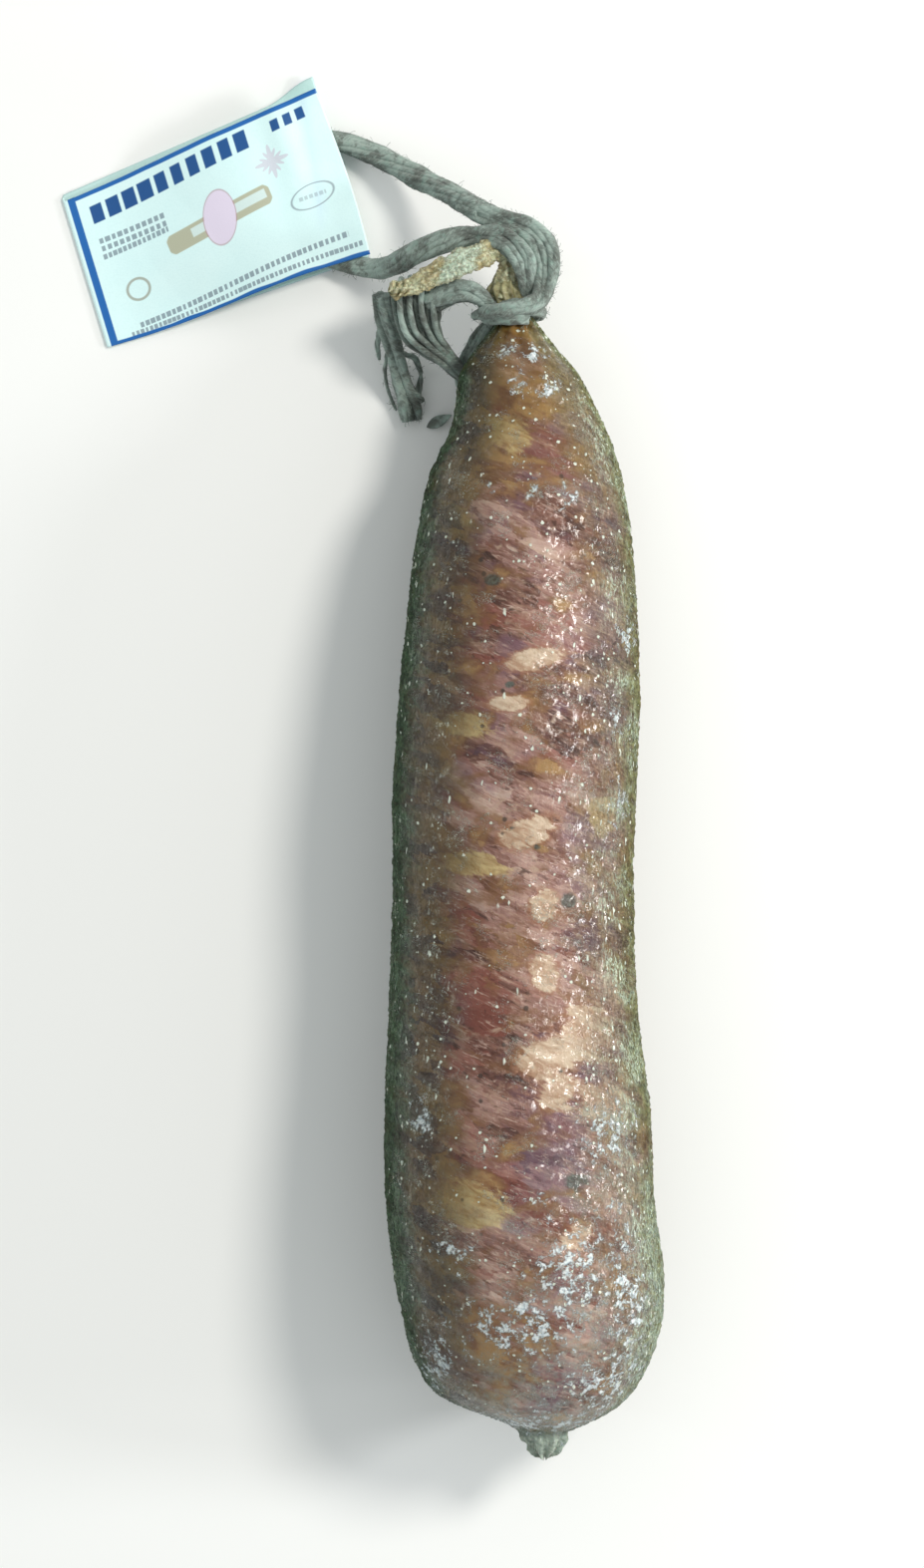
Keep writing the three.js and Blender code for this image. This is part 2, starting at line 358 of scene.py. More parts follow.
def sausage_tree():
    """Rings along the outline, swollen with lumps, creased with wrinkles and pleated at its ends."""
    tree, enter, leave = new_tree(
        "cured_sausage",
        {
            "Rings": "Int",
            "Sides": "Int",
            "Lump Height": "Float",
            "Wrinkle Depth": "Float",
            "Pleat Depth": "Float",
            "Pressed": "Float",
            "Material": "Material",
        },
    )
    get = enter.outputs
    outline = smooth_curve(tree, get["Geometry"], 16)
    grid = node(
        tree,
        "GeometryNodeMeshGrid",
        {"Size X": 1.0, "Size Y": 1.0, "Vertices X": get["Rings"], "Vertices Y": get["Sides"]},
    ).outputs[0]
    along, around, _ = parts_of(position(tree))
    along = along + 0.5
    turn = around * (2 * math.pi)
    sample = node(tree, "GeometryNodeSampleCurve", {"Curves": outline, "Factor": along}, mode="FACTOR")
    middle_x, place_y, radius = parts_of(sample.outputs["Position"])
    share = (place_y * -1 + TIE_Y) / BODY_LENGTH
    resting = radius - FLAT_DEPTH
    # The middle is as high as a flat place to rest on leaves it, or as neck and foot hold it.
    held = share.do("MAXIMUM", 0).do("MINIMUM", 1) * (FOOT_HEIGHT - NECK_HEIGHT) + NECK_HEIGHT
    apart = resting - held
    blend = (apart * apart + RESTING_BLEND**2).do("SQRT")
    middle_z = (resting + held + blend) * 0.5
    sideways = turn.do("COSINE")
    upward = turn.do("SINE")
    shape = grid
    for name, value in (("share", share), ("sideways", sideways), ("upward", upward)):
        shape = stored(tree, shape, name, value)
    ring = vector(tree, middle_x + radius * sideways, place_y, middle_z + radius * upward)
    shape = moved(tree, shape, "Position", ring)
    seam = {"Geometry": shape, "Distance": SEAM_GAP}
    shape = node(tree, "GeometryNodeMergeByDistance", seam).outputs[0]

    share, sideways, upward = (Amount(named(tree, name)) for name in ("share", "sideways", "upward"))
    place = in_mm(position(tree))
    bulk = share.ramp(0.0, 0.12) * share.ramp(1.0, 0.93)
    lumps = (grain(place, 0.05, 1) - 0.5) * 1.3 + (grain(scaled(place, 0.8, 1.2, 1), 0.13, 2) - 0.5) * 0.8
    warp = grain(place, 0.11, 2) * 9
    x, y, z = parts_of(place)
    # Long creases where the skin shrank most, on its right and left sides.
    long_way = vector(tree, x + warp, y * 0.22 + warp, z)
    creases = thin_lines(grain(long_way, 0.55, 3, 0.6), 0.0, 0.07) - 1
    sides = sideways.do("ABSOLUTE").ramp(0.45, 0.9, 0.25, 1.0)
    # Short wrinkles that run across, over the whole skin.
    cross_way = vector(tree, x * 0.45 + warp * 0.5, y + warp * 0.6, z * 0.45)
    ripples = thin_lines(grain(cross_way, 0.42, 3, 0.55), 0.0, 0.08) - 1
    wrinkles = creases * sides + ripples * 0.6
    angle = upward.do("ARCTAN2", sideways)
    near_tie = share.do("ABSOLUTE").ramp(0.09, 0.0)
    near_foot = share.ramp(0.965, 0.985)
    neck_pleats = (angle * NECK_PLEATS + warp * 0.25).do("SINE") * near_tie
    foot_pleats = (angle * FOOT_PLEATS + warp * 0.5).do("SINE") * near_foot * 1.4
    crumple = (grain(place, 0.45, 3, 0.6) - 0.5) * near_foot * 3.4
    height = (
        lumps * bulk * get["Lump Height"]
        + wrinkles * bulk.ramp(0.0, 0.6, 0.4, 1.0) * get["Wrinkle Depth"]
        + (neck_pleats + foot_pleats) * get["Pleat Depth"]
        + crumple
    )
    shape = moved(tree, shape, "Offset", vector_math(tree, "SCALE", normal(tree), Scale=height * MM))
    # The left side of the foot end is pressed flat, up to the gathered end.
    foot_end = share.ramp(0.93, 0.962) * share.ramp(0.98, 0.966)
    pressed = foot_end * sideways.ramp(0.0, -0.75) * get["Pressed"]
    x, y, z = parts_of(position(tree))
    shape = moved(tree, shape, "Position", vector(tree, x, y + pressed, z.do("MAXIMUM", 0)))
    end_tree(tree, shaded_smooth(tree, shape), enter, leave)
    return tree


def mix(tree, share, first, second, kind="MIX"):
    """Two colours, each a socket or six hex digits, mixed by a share from 0 to 1."""
    made = node(tree, "ShaderNodeMix", {0: share}, data_type="RGBA", blend_type=kind)
    for place, colour in ((6, first), (7, second)):
        plug(linear(colour) if isinstance(colour, str) else colour, made.inputs[place])
    return made.outputs[2]


def stored_amounts(tree, *names):
    """Values that were stored on the mesh, for a material to read."""
    return [Amount(node(tree, "ShaderNodeAttribute", attribute_name=n).outputs["Fac"]) for n in names]


def new_material(name):
    """A material, its node tree, its shader, and the Object coordinates in millimetres."""
    made = bpy.data.materials.new(name)
    made.use_nodes = True
    tree = made.node_tree
    coordinates = node(tree, "ShaderNodeTexCoord").outputs["Object"]
    return made, tree, tree.nodes["Principled BSDF"], in_mm(coordinates)


def centred(source, amount):
    """A vector of amounts from 0 to 1, spread evenly about nought and stretched."""
    return vector_math(source.id_data, "MULTIPLY_ADD", source, (amount,) * 3, (-amount / 2,) * 3)


def warped(source, scale, amount, detail=2.0):
    """Coordinates pushed about by cloudy noise."""
    made = node(source.id_data, "ShaderNodeTexNoise", {"Vector": source, "Scale": scale, "Detail": detail})
    push = centred(made.outputs["Color"], amount)
    return vector_math(source.id_data, "ADD", source, push)


def chances(source, scale):
    """Three random amounts for each scattered cell."""
    return parts_of(cells(source, scale, output="Color"))


def shades(tree, amount, *stops):
    """A colour ramp from places and hex colours."""
    made = node(tree, "ShaderNodeValToRGB", {0: amount})
    ramp = made.color_ramp
    while len(ramp.elements) < len(stops):
        ramp.elements.new(1.0)
    for element, (place, colour) in zip(ramp.elements, stops):
        element.position = place
        element.color = linear(colour)
    return made.outputs[0]


def bumped(tree, height, strength, depth):
    """A normal that follows a relief, with its depth in millimetres."""
    inputs = {"Strength": strength, "Distance": depth * MM, "Height": height}
    return node(tree, "ShaderNodeBump", inputs).outputs[0]


def skin_material():
    """Marbled meat and fat under a thin glossy casing, dusted with mould; its olive sides are painted shade
    and reflection.
    """
    made, tree, shader, place = new_material("sausage_skin")
    share, sideways, upward = stored_amounts(tree, "share", "sideways", "upward")
    pale, yellow, dark, mould = stored_amounts(tree, "pale", "yellow", "dark", "mould")
    x, y, z = parts_of(place)
    slant = vector(tree, x * 0.5 + y * 0.2, y + x * 0.32, z * 0.5)
    broad = grain(place, 0.05, 3, 0.55, 0.4)
    blotch = grain(slant, 0.15, 4, 0.6, 0.7)
    fibre = grain(slant, 0.5, 5, 0.68, 1.1)
    strands = grain(vector(tree, x * 0.35 + y * 0.2, y * 1.5 + x * 0.6, z * 0.4), 0.8, 4, 0.65, 1.4)
    fine = grain(place, 1.3, 3, 0.6)

    # Minced pieces of lean and fat, each with a tone of its own, soft-edged under the casing.
    chunk, chunk_b, _ = chances(warped(slant, 0.22, 7, 3), 0.12)
    bit, bit_b, _ = chances(warped(slant, 0.6, 3, 3), 0.33)
    tone = chunk * 0.34 + bit * 0.22 + blotch * 0.9 + (strands - 0.5) * 0.5 - 0.25
    meat = shades(
        tree,
        tone,
        (0.1, "30180f"),
        (0.28, "5f3a30"),
        (0.42, "81594e"),
        (0.55, "9e7870"),
        (0.68, "b9968c"),
        (0.86, "d3baab"),
    )
    mauve = (broad + (bit_b - 0.5) * 0.16 + sideways * 0.06).ramp(0.47, 0.62)
    meat = mix(tree, mauve * 0.6, meat, "735569")
    brick = ((chunk_b - 0.5) * 0.5 + grain(slant, 0.11, 2) - sideways * 0.1).ramp(0.52, 0.75)
    meat = mix(tree, brick * 0.6, meat, "86463a")
    seams = Amount(cells(warped(slant, 0.5, 4, 3), 0.2, "DISTANCE_TO_EDGE")).ramp(0.09, 0.0)
    meat = mix(tree, seams * blotch.ramp(0.4, 0.6) * 0.45, meat, "ad8d78")
    meat = mix(tree, fibre.ramp(0.55, 0.68) * 0.75, meat, "bfa197")
    meat = mix(tree, strands.ramp(0.58, 0.69) * 0.65, meat, "cdb2a4")
    meat = mix(tree, fibre.ramp(0.43, 0.31) * 0.75, meat, "3c2017")

    # Amber where the casing dried onto fat: most near both ends and on the left side.
    amber = grain(vector(tree, x * 0.8 + 40, y * 1.2, z), 0.1, 3, 0.55, 0.5) + (bit_b - 0.5) * 0.12
    amber = amber + (share.ramp(0.3, 0.02) + share.ramp(0.72, 1.0)) * 0.1 + sideways.ramp(0.0, -0.8) * 0.12
    amber = amber + sideways.ramp(0.35, 0.9) * 0.06
    meat = mix(tree, amber.ramp(0.51, 0.64) * 0.72, meat, "7c5431")
    meat = mix(tree, amber.ramp(0.61, 0.74) * 0.75, meat, "a98556")

    # Whole pieces of fat, pale or yellow, each with a browner rim, and dark pepper.
    rough_edge = (fibre - 0.5) * 0.45 + (fine - 0.5) * 0.15 + (blotch - 0.5) * 0.7 + (bit - 0.5) * 0.2
    flecks = grain(vector(tree, x * 0.7 + 90, y * 1.1, z), 0.24, 3, 0.55, 0.5)
    meat = mix(tree, flecks.ramp(0.62, 0.74) * 0.7, meat, "b89d8a")
    rim = (pale + rough_edge).ramp(0.3, 0.46)
    meat = mix(tree, rim * 0.55, meat, "9c6c50")
    fat = mix(tree, (fibre * 0.5 + blotch * 0.5).ramp(0.4, 0.6), "b08d74", "dcc6b0")
    meat = mix(tree, (pale + rough_edge).ramp(0.44, 0.58) * 0.92, meat, fat)
    gold = mix(tree, fibre.ramp(0.35, 0.65), "9c7d4e", "cdb683")
    meat = mix(tree, (yellow + rough_edge).ramp(0.4, 0.62) * 0.85, meat, gold)

    specks = Amount(cells(place, 0.22)).ramp(0.16, 0.09)
    chosen, _, _ = chances(place, 0.22)
    meat = mix(tree, specks * chosen.ramp(0.66, 0.7) * 0.75, meat, "2f2823")
    char = mix(tree, fine.ramp(0.4, 0.6), "262d2b", "4d5a55")
    meat = mix(tree, (dark + rough_edge * 1.2).ramp(0.36, 0.66) * 0.85, meat, char)

    # The casing is thicker and darker with dried fat at the tied end. Its sides are painted darker, partly
    # its own tone and partly painted shade, and its edges carry a painted green reflection.
    ragged = (broad - 0.5) * 0.4 + (blotch - 0.5) * 0.45 + (fibre - 0.5) * 0.2
    cone = (share + ragged * 0.12).ramp(0.2, 0.02)
    tied = mix(tree, blotch.ramp(0.35, 0.65), "593b1a", "8a6a2e")
    olive = mix(tree, fibre.ramp(0.3, 0.7), "4f4a1d", "8c8440")
    tied = mix(tree, (sideways.do("ABSOLUTE") + ragged).ramp(0.25, 0.7), tied, olive)
    meat = mix(tree, cone * 0.75, meat, tied)
    # Painted shade on the left side: olive-brown, over the casing's own darker tone there.
    inner_left = (sideways * -1 + ragged).ramp(0.2, 0.7)
    brown = mix(tree, (blotch + (bit - 0.5) * 0.3).ramp(0.38, 0.62), "1d150b", "5a4721")
    meat = mix(tree, inner_left * 0.88, meat, brown)
    # Painted reflection and shade: a dark green band down the far left edge.
    far_left = (sideways * -1 + ragged * 0.6).ramp(0.74, 0.94)
    green = mix(tree, (fine * 0.5 + fibre * 0.6).ramp(0.42, 0.72), "1a2c20", "4f6a4f")
    meat = mix(tree, far_left * (blotch.ramp(0.35, 0.6) * 0.2 + 0.74), meat, green)
    right_side = (sideways + ragged).ramp(0.3, 0.8)
    drab = mix(tree, (strands * 0.6 + blotch * 0.4).ramp(0.4, 0.6), "4c3c2c", "8a7a5c")
    meat = mix(tree, right_side * 0.6, meat, drab)
    # Painted reflection and shade: a green band down the far right edge.
    far_right = (sideways + ragged * 0.9).ramp(0.74, 1.0)
    right_edge_reflection = mix(tree, (fibre * 0.7 + fine * 0.4).ramp(0.42, 0.66), "26341f", "82875a")
    meat = mix(tree, far_right * 0.82, meat, right_edge_reflection)
    # Painted highlights: whitish streaks run along both edges, over the green edge bands.
    streak_at = vector(tree, x * 1.1, y * 0.3, z * 1.1)
    highlight_streaks = thin_lines(grain(streak_at, 0.8, 3, 0.6, 0.9), 0.05, 0.01)
    right_edge = (sideways + ragged * 0.7).ramp(0.62, 0.86)
    left_edge = (sideways * -1 + ragged * 0.5).ramp(0.8, 0.95)
    highlight_streak_zone = (right_edge + left_edge * 0.3) * (broad + (blotch - 0.5) * 0.7).ramp(0.42, 0.6) * 0.7
    meat = mix(tree, highlight_streaks * highlight_streak_zone, meat, "d3e4cf")
    # The underside is plain brown, the gathered foot grey, and the tuft beyond the tie cream.
    under = (upward * -1 + ragged).ramp(-0.15, 0.35)
    meat = mix(tree, under * 0.75, meat, "453f2a")
    foot = (share + ragged * 0.05).ramp(0.935, 0.985)
    meat = mix(tree, foot * 0.75, meat, "4d5a48")
    nub = share.ramp(0.972, 0.982)
    meat = mix(tree, nub * 0.9, meat, mix(tree, fibre.ramp(0.3, 0.7), "6a7c70", "dbe6d8"))
    tuft = share.ramp(0.0, -0.008)
    meat = mix(tree, tuft, meat, mix(tree, fibre.ramp(0.3, 0.7), "7c7350", "c2bd95"))

    # White mould: crisp crumbs in clusters, and a thin veil toward the foot and the right side.
    crumbs = grain(warped(place, 1.4, 0.9, 2), 0.42, 5, 0.74, 0.3)
    dusty = (mould + (crumbs - 0.5) * 3.4 + (fine - 0.5) * 0.7).ramp(0.8, 1.06)
    stray = (crumbs + share.ramp(0.55, 1.0) * 0.06 + sideways.ramp(0.3, 1.0) * 0.03).ramp(0.7, 0.75)
    veil = (share + ragged * 0.6 + sideways * 0.1).ramp(0.66, 1.05) * crumbs.ramp(0.38, 0.6)
    veil = veil.do("MAXIMUM", (mould + ragged * 0.8).ramp(0.45, 1.0) * crumbs.ramp(0.42, 0.6))
    meat = mix(tree, veil * 0.5, meat, "93a39c")
    white = dusty.do("MAXIMUM", stray * 0.85)
    colour = mix(tree, white * 0.9, meat, mix(tree, fine.ramp(0.3, 0.6), "aebecb", "f4faff"))

    # Painted glints: white specks that stand in for light caught on the casing, shown as salt crystals
    # and beads of dried fat: round ones all over, long ones down the right side.
    patchy = grain(place, 0.13, 3, 0.6) - 0.5
    round_at = warped(place, 1.6, 0.5)
    round_size, round_there, _ = chances(round_at, 0.8)
    crowd = patchy * 0.8 + share.ramp(0.3, 0.05) * 0.2 + share.ramp(0.7, 0.95) * 0.14
    crowd = crowd + sideways.ramp(0.2, 0.7) * 0.12 + sideways.ramp(-0.4, -0.8) * 0.06 + round_there
    glint_dots = (round_size * round_size * 0.3 + 0.1 - Amount(cells(round_at, 0.8))).ramp(0.0, 0.1)
    glint_dots = glint_dots * crowd.ramp(0.86, 0.88)
    long_at = warped(vector(tree, x, y * 0.4, z), 1.4, 0.8)
    long_size, long_there, _ = chances(long_at, 0.66)
    lined = patchy * 0.6 + sideways.ramp(0.35, 0.8) * 0.5 + sideways.ramp(-0.65, -0.95) * 0.3 + long_there
    lines = (long_size * 0.22 + 0.06 - Amount(cells(long_at, 0.66))).ramp(0.0, 0.08)
    lines = lines * lined.ramp(0.86, 0.92)
    curl = thin_lines(grain(place, 0.8, 3, 0.6, 1.5), 0.022, 0.004)
    curl = curl * (patchy + (strands - 0.5) * 0.4).ramp(0.06, 0.13) * 0.8
    painted_glints = glint_dots.do("MAXIMUM", lines).do("MAXIMUM", curl) * (tuft * -1 + 1)
    # The painted glints go into the colour as near-white specks.
    colour = mix(tree, painted_glints * 0.88, colour, "edf3e8")
    plug(mix(tree, 1.0, colour, (0.9, 0.92, 0.88, 1), "MULTIPLY"), shader.inputs["Base Color"])

    flank = sideways.do("ABSOLUTE")
    roughness = fine * 0.16 + 0.5 + white * 0.3 + tuft * 0.3 + flank.ramp(0.75, 1.0) * 0.25
    plug(roughness.do("MINIMUM", 0.95), shader.inputs["Roughness"])
    shader.inputs["Specular IOR Level"].default_value = 0.08
    edge = flank.ramp(0.78, 0.97, 1.0, 0.06)
    plug((white * -0.5 + 0.85) * edge, shader.inputs["Coat Weight"])
    shader.inputs["Coat Roughness"].default_value = 0.09
    shader.inputs["Coat IOR"].default_value = 1.5
    shader.inputs["Subsurface Weight"].default_value = 0.06
    shader.inputs["Subsurface Scale"].default_value = 0.002

    # The dried casing is covered with tiny wet-looking facets and threads that catch the light.
    thread_at = vector(tree, x * 1.1, y * 0.32, z * 1.1)
    threads = thin_lines(grain(thread_at, 1.0, 3, 0.6, 0.9), 0.05, 0.0)
    threads = threads * flank.ramp(0.35, 0.85, 0.15, 1.0)
    relief = threads * 0.5 + fine * 0.35 + white * 0.5 + painted_glints * 0.5 + crumbs * 0.6 + fibre * 0.2
    plug(bumped(tree, relief, 1.0, 0.45), shader.inputs["Normal"])
    film = threads * 0.5 + painted_glints * 0.7 + white * 0.4 + blotch * 0.6 + strands * 0.3
    glaze = bumped(tree, film, 0.8, 0.22)
    facet_at = warped(vector(tree, x, y * 0.6, z), 1.5, 0.6)
    tilt = centred(cells(facet_at, 1.15, output="Color"), 0.6)
    lively = (grain(place, 0.14, 3, 0.6) - 0.5) * 1.6 + sideways.ramp(0.25, 0.7) * 0.5
    lively = lively + share.ramp(0.3, 0.0) * 0.3 + sideways.ramp(-0.5, -0.9) * 0.2
    turned = vector_math(tree, "SCALE", tilt, Scale=lively.ramp(-0.15, 0.6, 0.4, 1.0))
    leaning = vector_math(tree, "ADD", glaze, turned)
    plug(vector_math(tree, "NORMALIZE", leaning), shader.inputs["Coat Normal"])
    return made


# Patches that show through or grow on the skin: middle x and y, half length and half width,
# turn in degrees, all seen from above, with sizes in millimetres.
PATCHES = {
    "pale": [
        (4.5, -46, 8, 5.5, 30),
        (12, -40, 7, 5, 60),
        (7, -52, 5, 4, 0),
        (16, -55, 6, 3.4, -20),
        (4, -27, 3, 4, 20),
        (4, -12, 3.4, 2.6, 60),
        (0, 4, 6, 3, 20),
        (-3.2, 32.5, 5, 1.6, 3),
        (11, -84, 3.2, 2.6, 0),
        (2, 42, 7, 2.2, 12),
    ],
    "yellow": [
        (-13.5, 28, 6.2, 3, -8),
        (-17, 74, 5, 3.4, 0),
        (-12, -77, 8, 5, 10),
        (-11, -3, 7, 2.6, -8),
        (17, 7, 3, 4, 0),
        (-3, 93, 4, 5, 20),
    ],
    "dark": [
        (-7.5, 59.5, 1.6, 1.2, 0),
        (-3.5, 36.5, 1.0, 0.7, 0),
        (10.5, -72, 2.8, 2.2, 0),
        (7.5, -48, 0.9, 0.7, 30),
        (9.5, -11, 1.5, 1.8, 0),
        (-3, 5, 0.7, 0.6, 0),
        (2.5, 1, 0.8, 0.7, 0),
    ],
    "mould": [
        (-3.5, 112.5, 3.2, 3, 0),
        (2.5, 112, 3.2, 3, 0),
        (-0.5, 104.5, 3, 3.2, 0),
        (5, 103, 3, 2.8, 0),
        (10, 79, 3.2, 3.6, 0),
        (2, 79.5, 2, 2.6, 0),
        (-8, 80.5, 1.6, 1.6, 0),
        (23, 48, 3, 5, 0),
        (20, 30, 3, 4, 0),
        (21, 10, 2.4, 6, 0),
        (3, -75.5, 3, 1.8, 0),
        (10, -91, 12, 11, 0),
        (22, -96, 6, 20, 10),
        (0, -103, 18, 9, 0),
        (17, -117, 12, 9, 30),
        (4, -128, 24, 5, 0),
        (-20, -112, 5, 12, 0),
        (-23, -60, 3, 6, 0),
        (18, -62, 7, 8, 0),
        (-16, -87, 5, 4, 0),
    ],
}


def paint_patches(skin):
    """Marks the skin's upper side with how deep each point lies in the patches of each kind."""
    count = len(skin.data.vertices)
    places = np.zeros(count * 3)
    skin.data.vertices.foreach_get("co", places)
    places = places.reshape(-1, 3) / MM
    upward = np.zeros(count)
    skin.data.attributes["upward"].data.foreach_get("value", upward)
    for kind, patches in PATCHES.items():
        depth = np.zeros(count)
        for x, y, half_length, half_width, turn in patches:
            cosine = math.cos(math.radians(turn))
            sine = math.sin(math.radians(turn))
            ahead = ((places[:, 0] - x) * cosine + (places[:, 1] - y) * sine) / half_length
            aside = ((places[:, 1] - y) * cosine - (places[:, 0] - x) * sine) / half_width
            depth = np.maximum(depth, 1 - 0.5 * np.hypot(ahead, aside))
        depth = np.where(upward > -0.1, depth, 0)
        skin.data.attributes.new(kind, "FLOAT", "POINT").data.foreach_set("value", depth)


def line_object(name, points):
    """Points joined one after another by edges."""
    return mesh_object(name, points, edges=[(i, i + 1) for i in range(len(points) - 1)])


outline = [
    (middle * MM, TIE_Y + share * TUFT_LENGTH, radius * NECK_RADIUS)
    for share, radius, middle in TUFT_OUTLINE
]
outline += [
    (middle * MM, TIE_Y - share * BODY_LENGTH, NECK_RADIUS + fullness * (GIRTH_RADIUS - NECK_RADIUS))
    for share, fullness, middle in BODY_OUTLINE
]
sausage = grown(
    line_object("sausage_body", outline),
    sausage_tree(),
    rings=521,
    sides=181,
    lump_height=0.8,
    wrinkle_depth=0.28,
    pleat_depth=0.32,
    pressed=1.2 * MM,
    material=skin_material(),
)
paint_patches(sausage)
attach(sausage, "root")
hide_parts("sausage")


# ---------------------------------------------------------------- casing tail
# The spare end of the casing beyond the tie: an empty tube that dried flat into a cream strip.
# It is turned down to the left over the knot, folded lengthwise, and curled up at its end.

# Sideways, beyond the tie, above the neck's middle; then width and thickness.
TAIL_ROUTE = [
    (-4.6, 4, 1, 6.4, 4.8),
    (-4.4, 7, 1.6, 6, 3.6),
    (-3.4, 10.4, 2.2, 4, 2.6),
    (-4.4, 13.2, 3, 3.6, 2.2),
    (-7.2, 13.8, 4.8, 5, 1.8),
    (-11, 12.4, 6.2, 5.6, 1.7),
    (-16, 10.2, 6.8, 5.6, 1.8),
    (-21.5, 7.8, 6.2, 4.8, 1.9),
    (-26.4, 5.6, 5.2, 3.8, 2.4),
    (-30.6, 4.8, 4.4, 4.6, 3.6),
]


def route_object(name, points):
    """A line through points, carrying the width and thickness wanted at each."""
    made = line_object(name, [point[:3] for point in points])
    for place, label in ((3, "wide"), (4, "thick")):
        values = [point[place] for point in points]
        made.data.attributes.new(label, "FLOAT", "POINT").data.foreach_set("value", values)
    return made


def from_tie(points):
    """Route points given from the neck's middle at the tie, in metres."""
    return [(x * MM, TIE_Y + y * MM, NECK_HEIGHT + z * MM, wide, thick) for x, y, z, wide, thick in points]


def smooth_route(tree, geometry, step):
    """The line as a smooth curve, with points a step apart, and the curve's sideways and upward."""
    spacing = {"Curve": smooth_curve(tree, geometry, 12), "Length": step}
    route = node(tree, "GeometryNodeResampleCurve", spacing, mode="LENGTH").outputs[0]
    ahead = node(tree, "GeometryNodeInputTangent").outputs[0]
    level = vector_math(tree, "CROSS_PRODUCT", ahead, (0, 0, 1))
    side = vector_math(tree, "NORMALIZE", level)
    up = vector_math(tree, "CROSS_PRODUCT", side, ahead)
    return route, side, up


def two_ways(tree, first, first_amount, second, second_amount):
    """The sum of two directions, each times an amount."""
    part = vector_math(tree, "SCALE", first, Scale=first_amount)
    other = vector_math(tree, "SCALE", second, Scale=second_amount)
    return vector_math(tree, "ADD", part, other)


def spline_place(tree):
    """How far along its curve a point is, as a share and as a length."""
    made = node(tree, "GeometryNodeSplineParameter")
    return Amount(made.outputs["Factor"]), Amount(made.outputs["Length"])


def round_profile(tree, sides, radius):
    """A circle to sweep, whose points know where round it they lie."""
    sizes = {"Resolution": sides, "Radius": radius}
    circle = node(tree, "GeometryNodeCurvePrimitiveCircle", sizes).outputs[0]
    around, _ = spline_place(tree)
    turn = around * (2 * math.pi)
    circle = stored(tree, circle, "cosine", turn.do("COSINE"))
    return stored(tree, circle, "sine", turn.do("SINE"))


def swept(tree, curve, profile, **more):
    """A tube: a profile swept along a curve, closed at both ends."""
    inputs = {"Curve": curve, "Profile Curve": profile, "Fill Caps": True, **more}
    return node(tree, "GeometryNodeCurveToMesh", inputs).outputs[0]


def tail_tree():
    """A flattened tube along a route, pleated lengthwise, crumpled, and curled up at its end."""
    tree, enter, leave = new_tree(
        "casing_tail",
        {
            "Step": "Float",
            "Sides": "Int",
            "Fold Depth": "Float",
            "Crumple": "Float",
            "Material": "Material",
        },
    )
    get = enter.outputs
    route, side, up = smooth_route(tree, get["Geometry"], get["Step"])
    factor, _ = spline_place(tree)
    route = stored(tree, route, "along", factor)
    for label, value in (("middle", position(tree)), ("side", side), ("up", up)):
        route = stored(tree, route, label, value, "FLOAT_VECTOR")
    tube = swept(tree, route, round_profile(tree, get["Sides"], MM))

    along, cosine, sine, wide, thick = (
        Amount(named(tree, name)) for name in ("along", "cosine", "sine", "wide", "thick")
    )
    middle, side, up = (named(tree, name, "FLOAT_VECTOR") for name in ("middle", "side", "up"))
    place = in_mm(middle)
    end = along.ramp(0.84, 0.95)
    round_it = vector_math(tree, "ADD", place, vector(tree, cosine * 3, sine * 2, 0))
    ragged = (grain(round_it, 0.3, 4, 0.65) - 0.5) * 1.3 + 1
    closing = along.ramp(1.0, 0.965).do("SQRT").do("MAXIMUM", 0.12)
    lengthwise = (cosine * 7 + grain(place, 0.25, 2) * 5).do("SINE")
    swirl = (cosine * 6 + sine * 5 + along * 150).do("SINE") * end * 1.6
    out = ragged * wide * closing * 0.5
    lift = ragged * thick * closing * 0.5
    pleat = (lengthwise + swirl) * get["Fold Depth"] * sine.do("ABSOLUTE").ramp(0.0, 0.5)
    spread = two_ways(tree, side, cosine * out * MM, up, sine * (lift + pleat) * MM)
    tube = moved(tree, tube, "Position", vector_math(tree, "ADD", middle, spread))
    rough = (grain(in_mm(position(tree)), 0.9, 4, 0.65) - 0.5) * get["Crumple"]
    tube = moved(tree, tube, "Offset", vector_math(tree, "SCALE", normal(tree), Scale=rough * MM))
    end_tree(tree, shaded_smooth(tree, tube), enter, leave)
    return tree


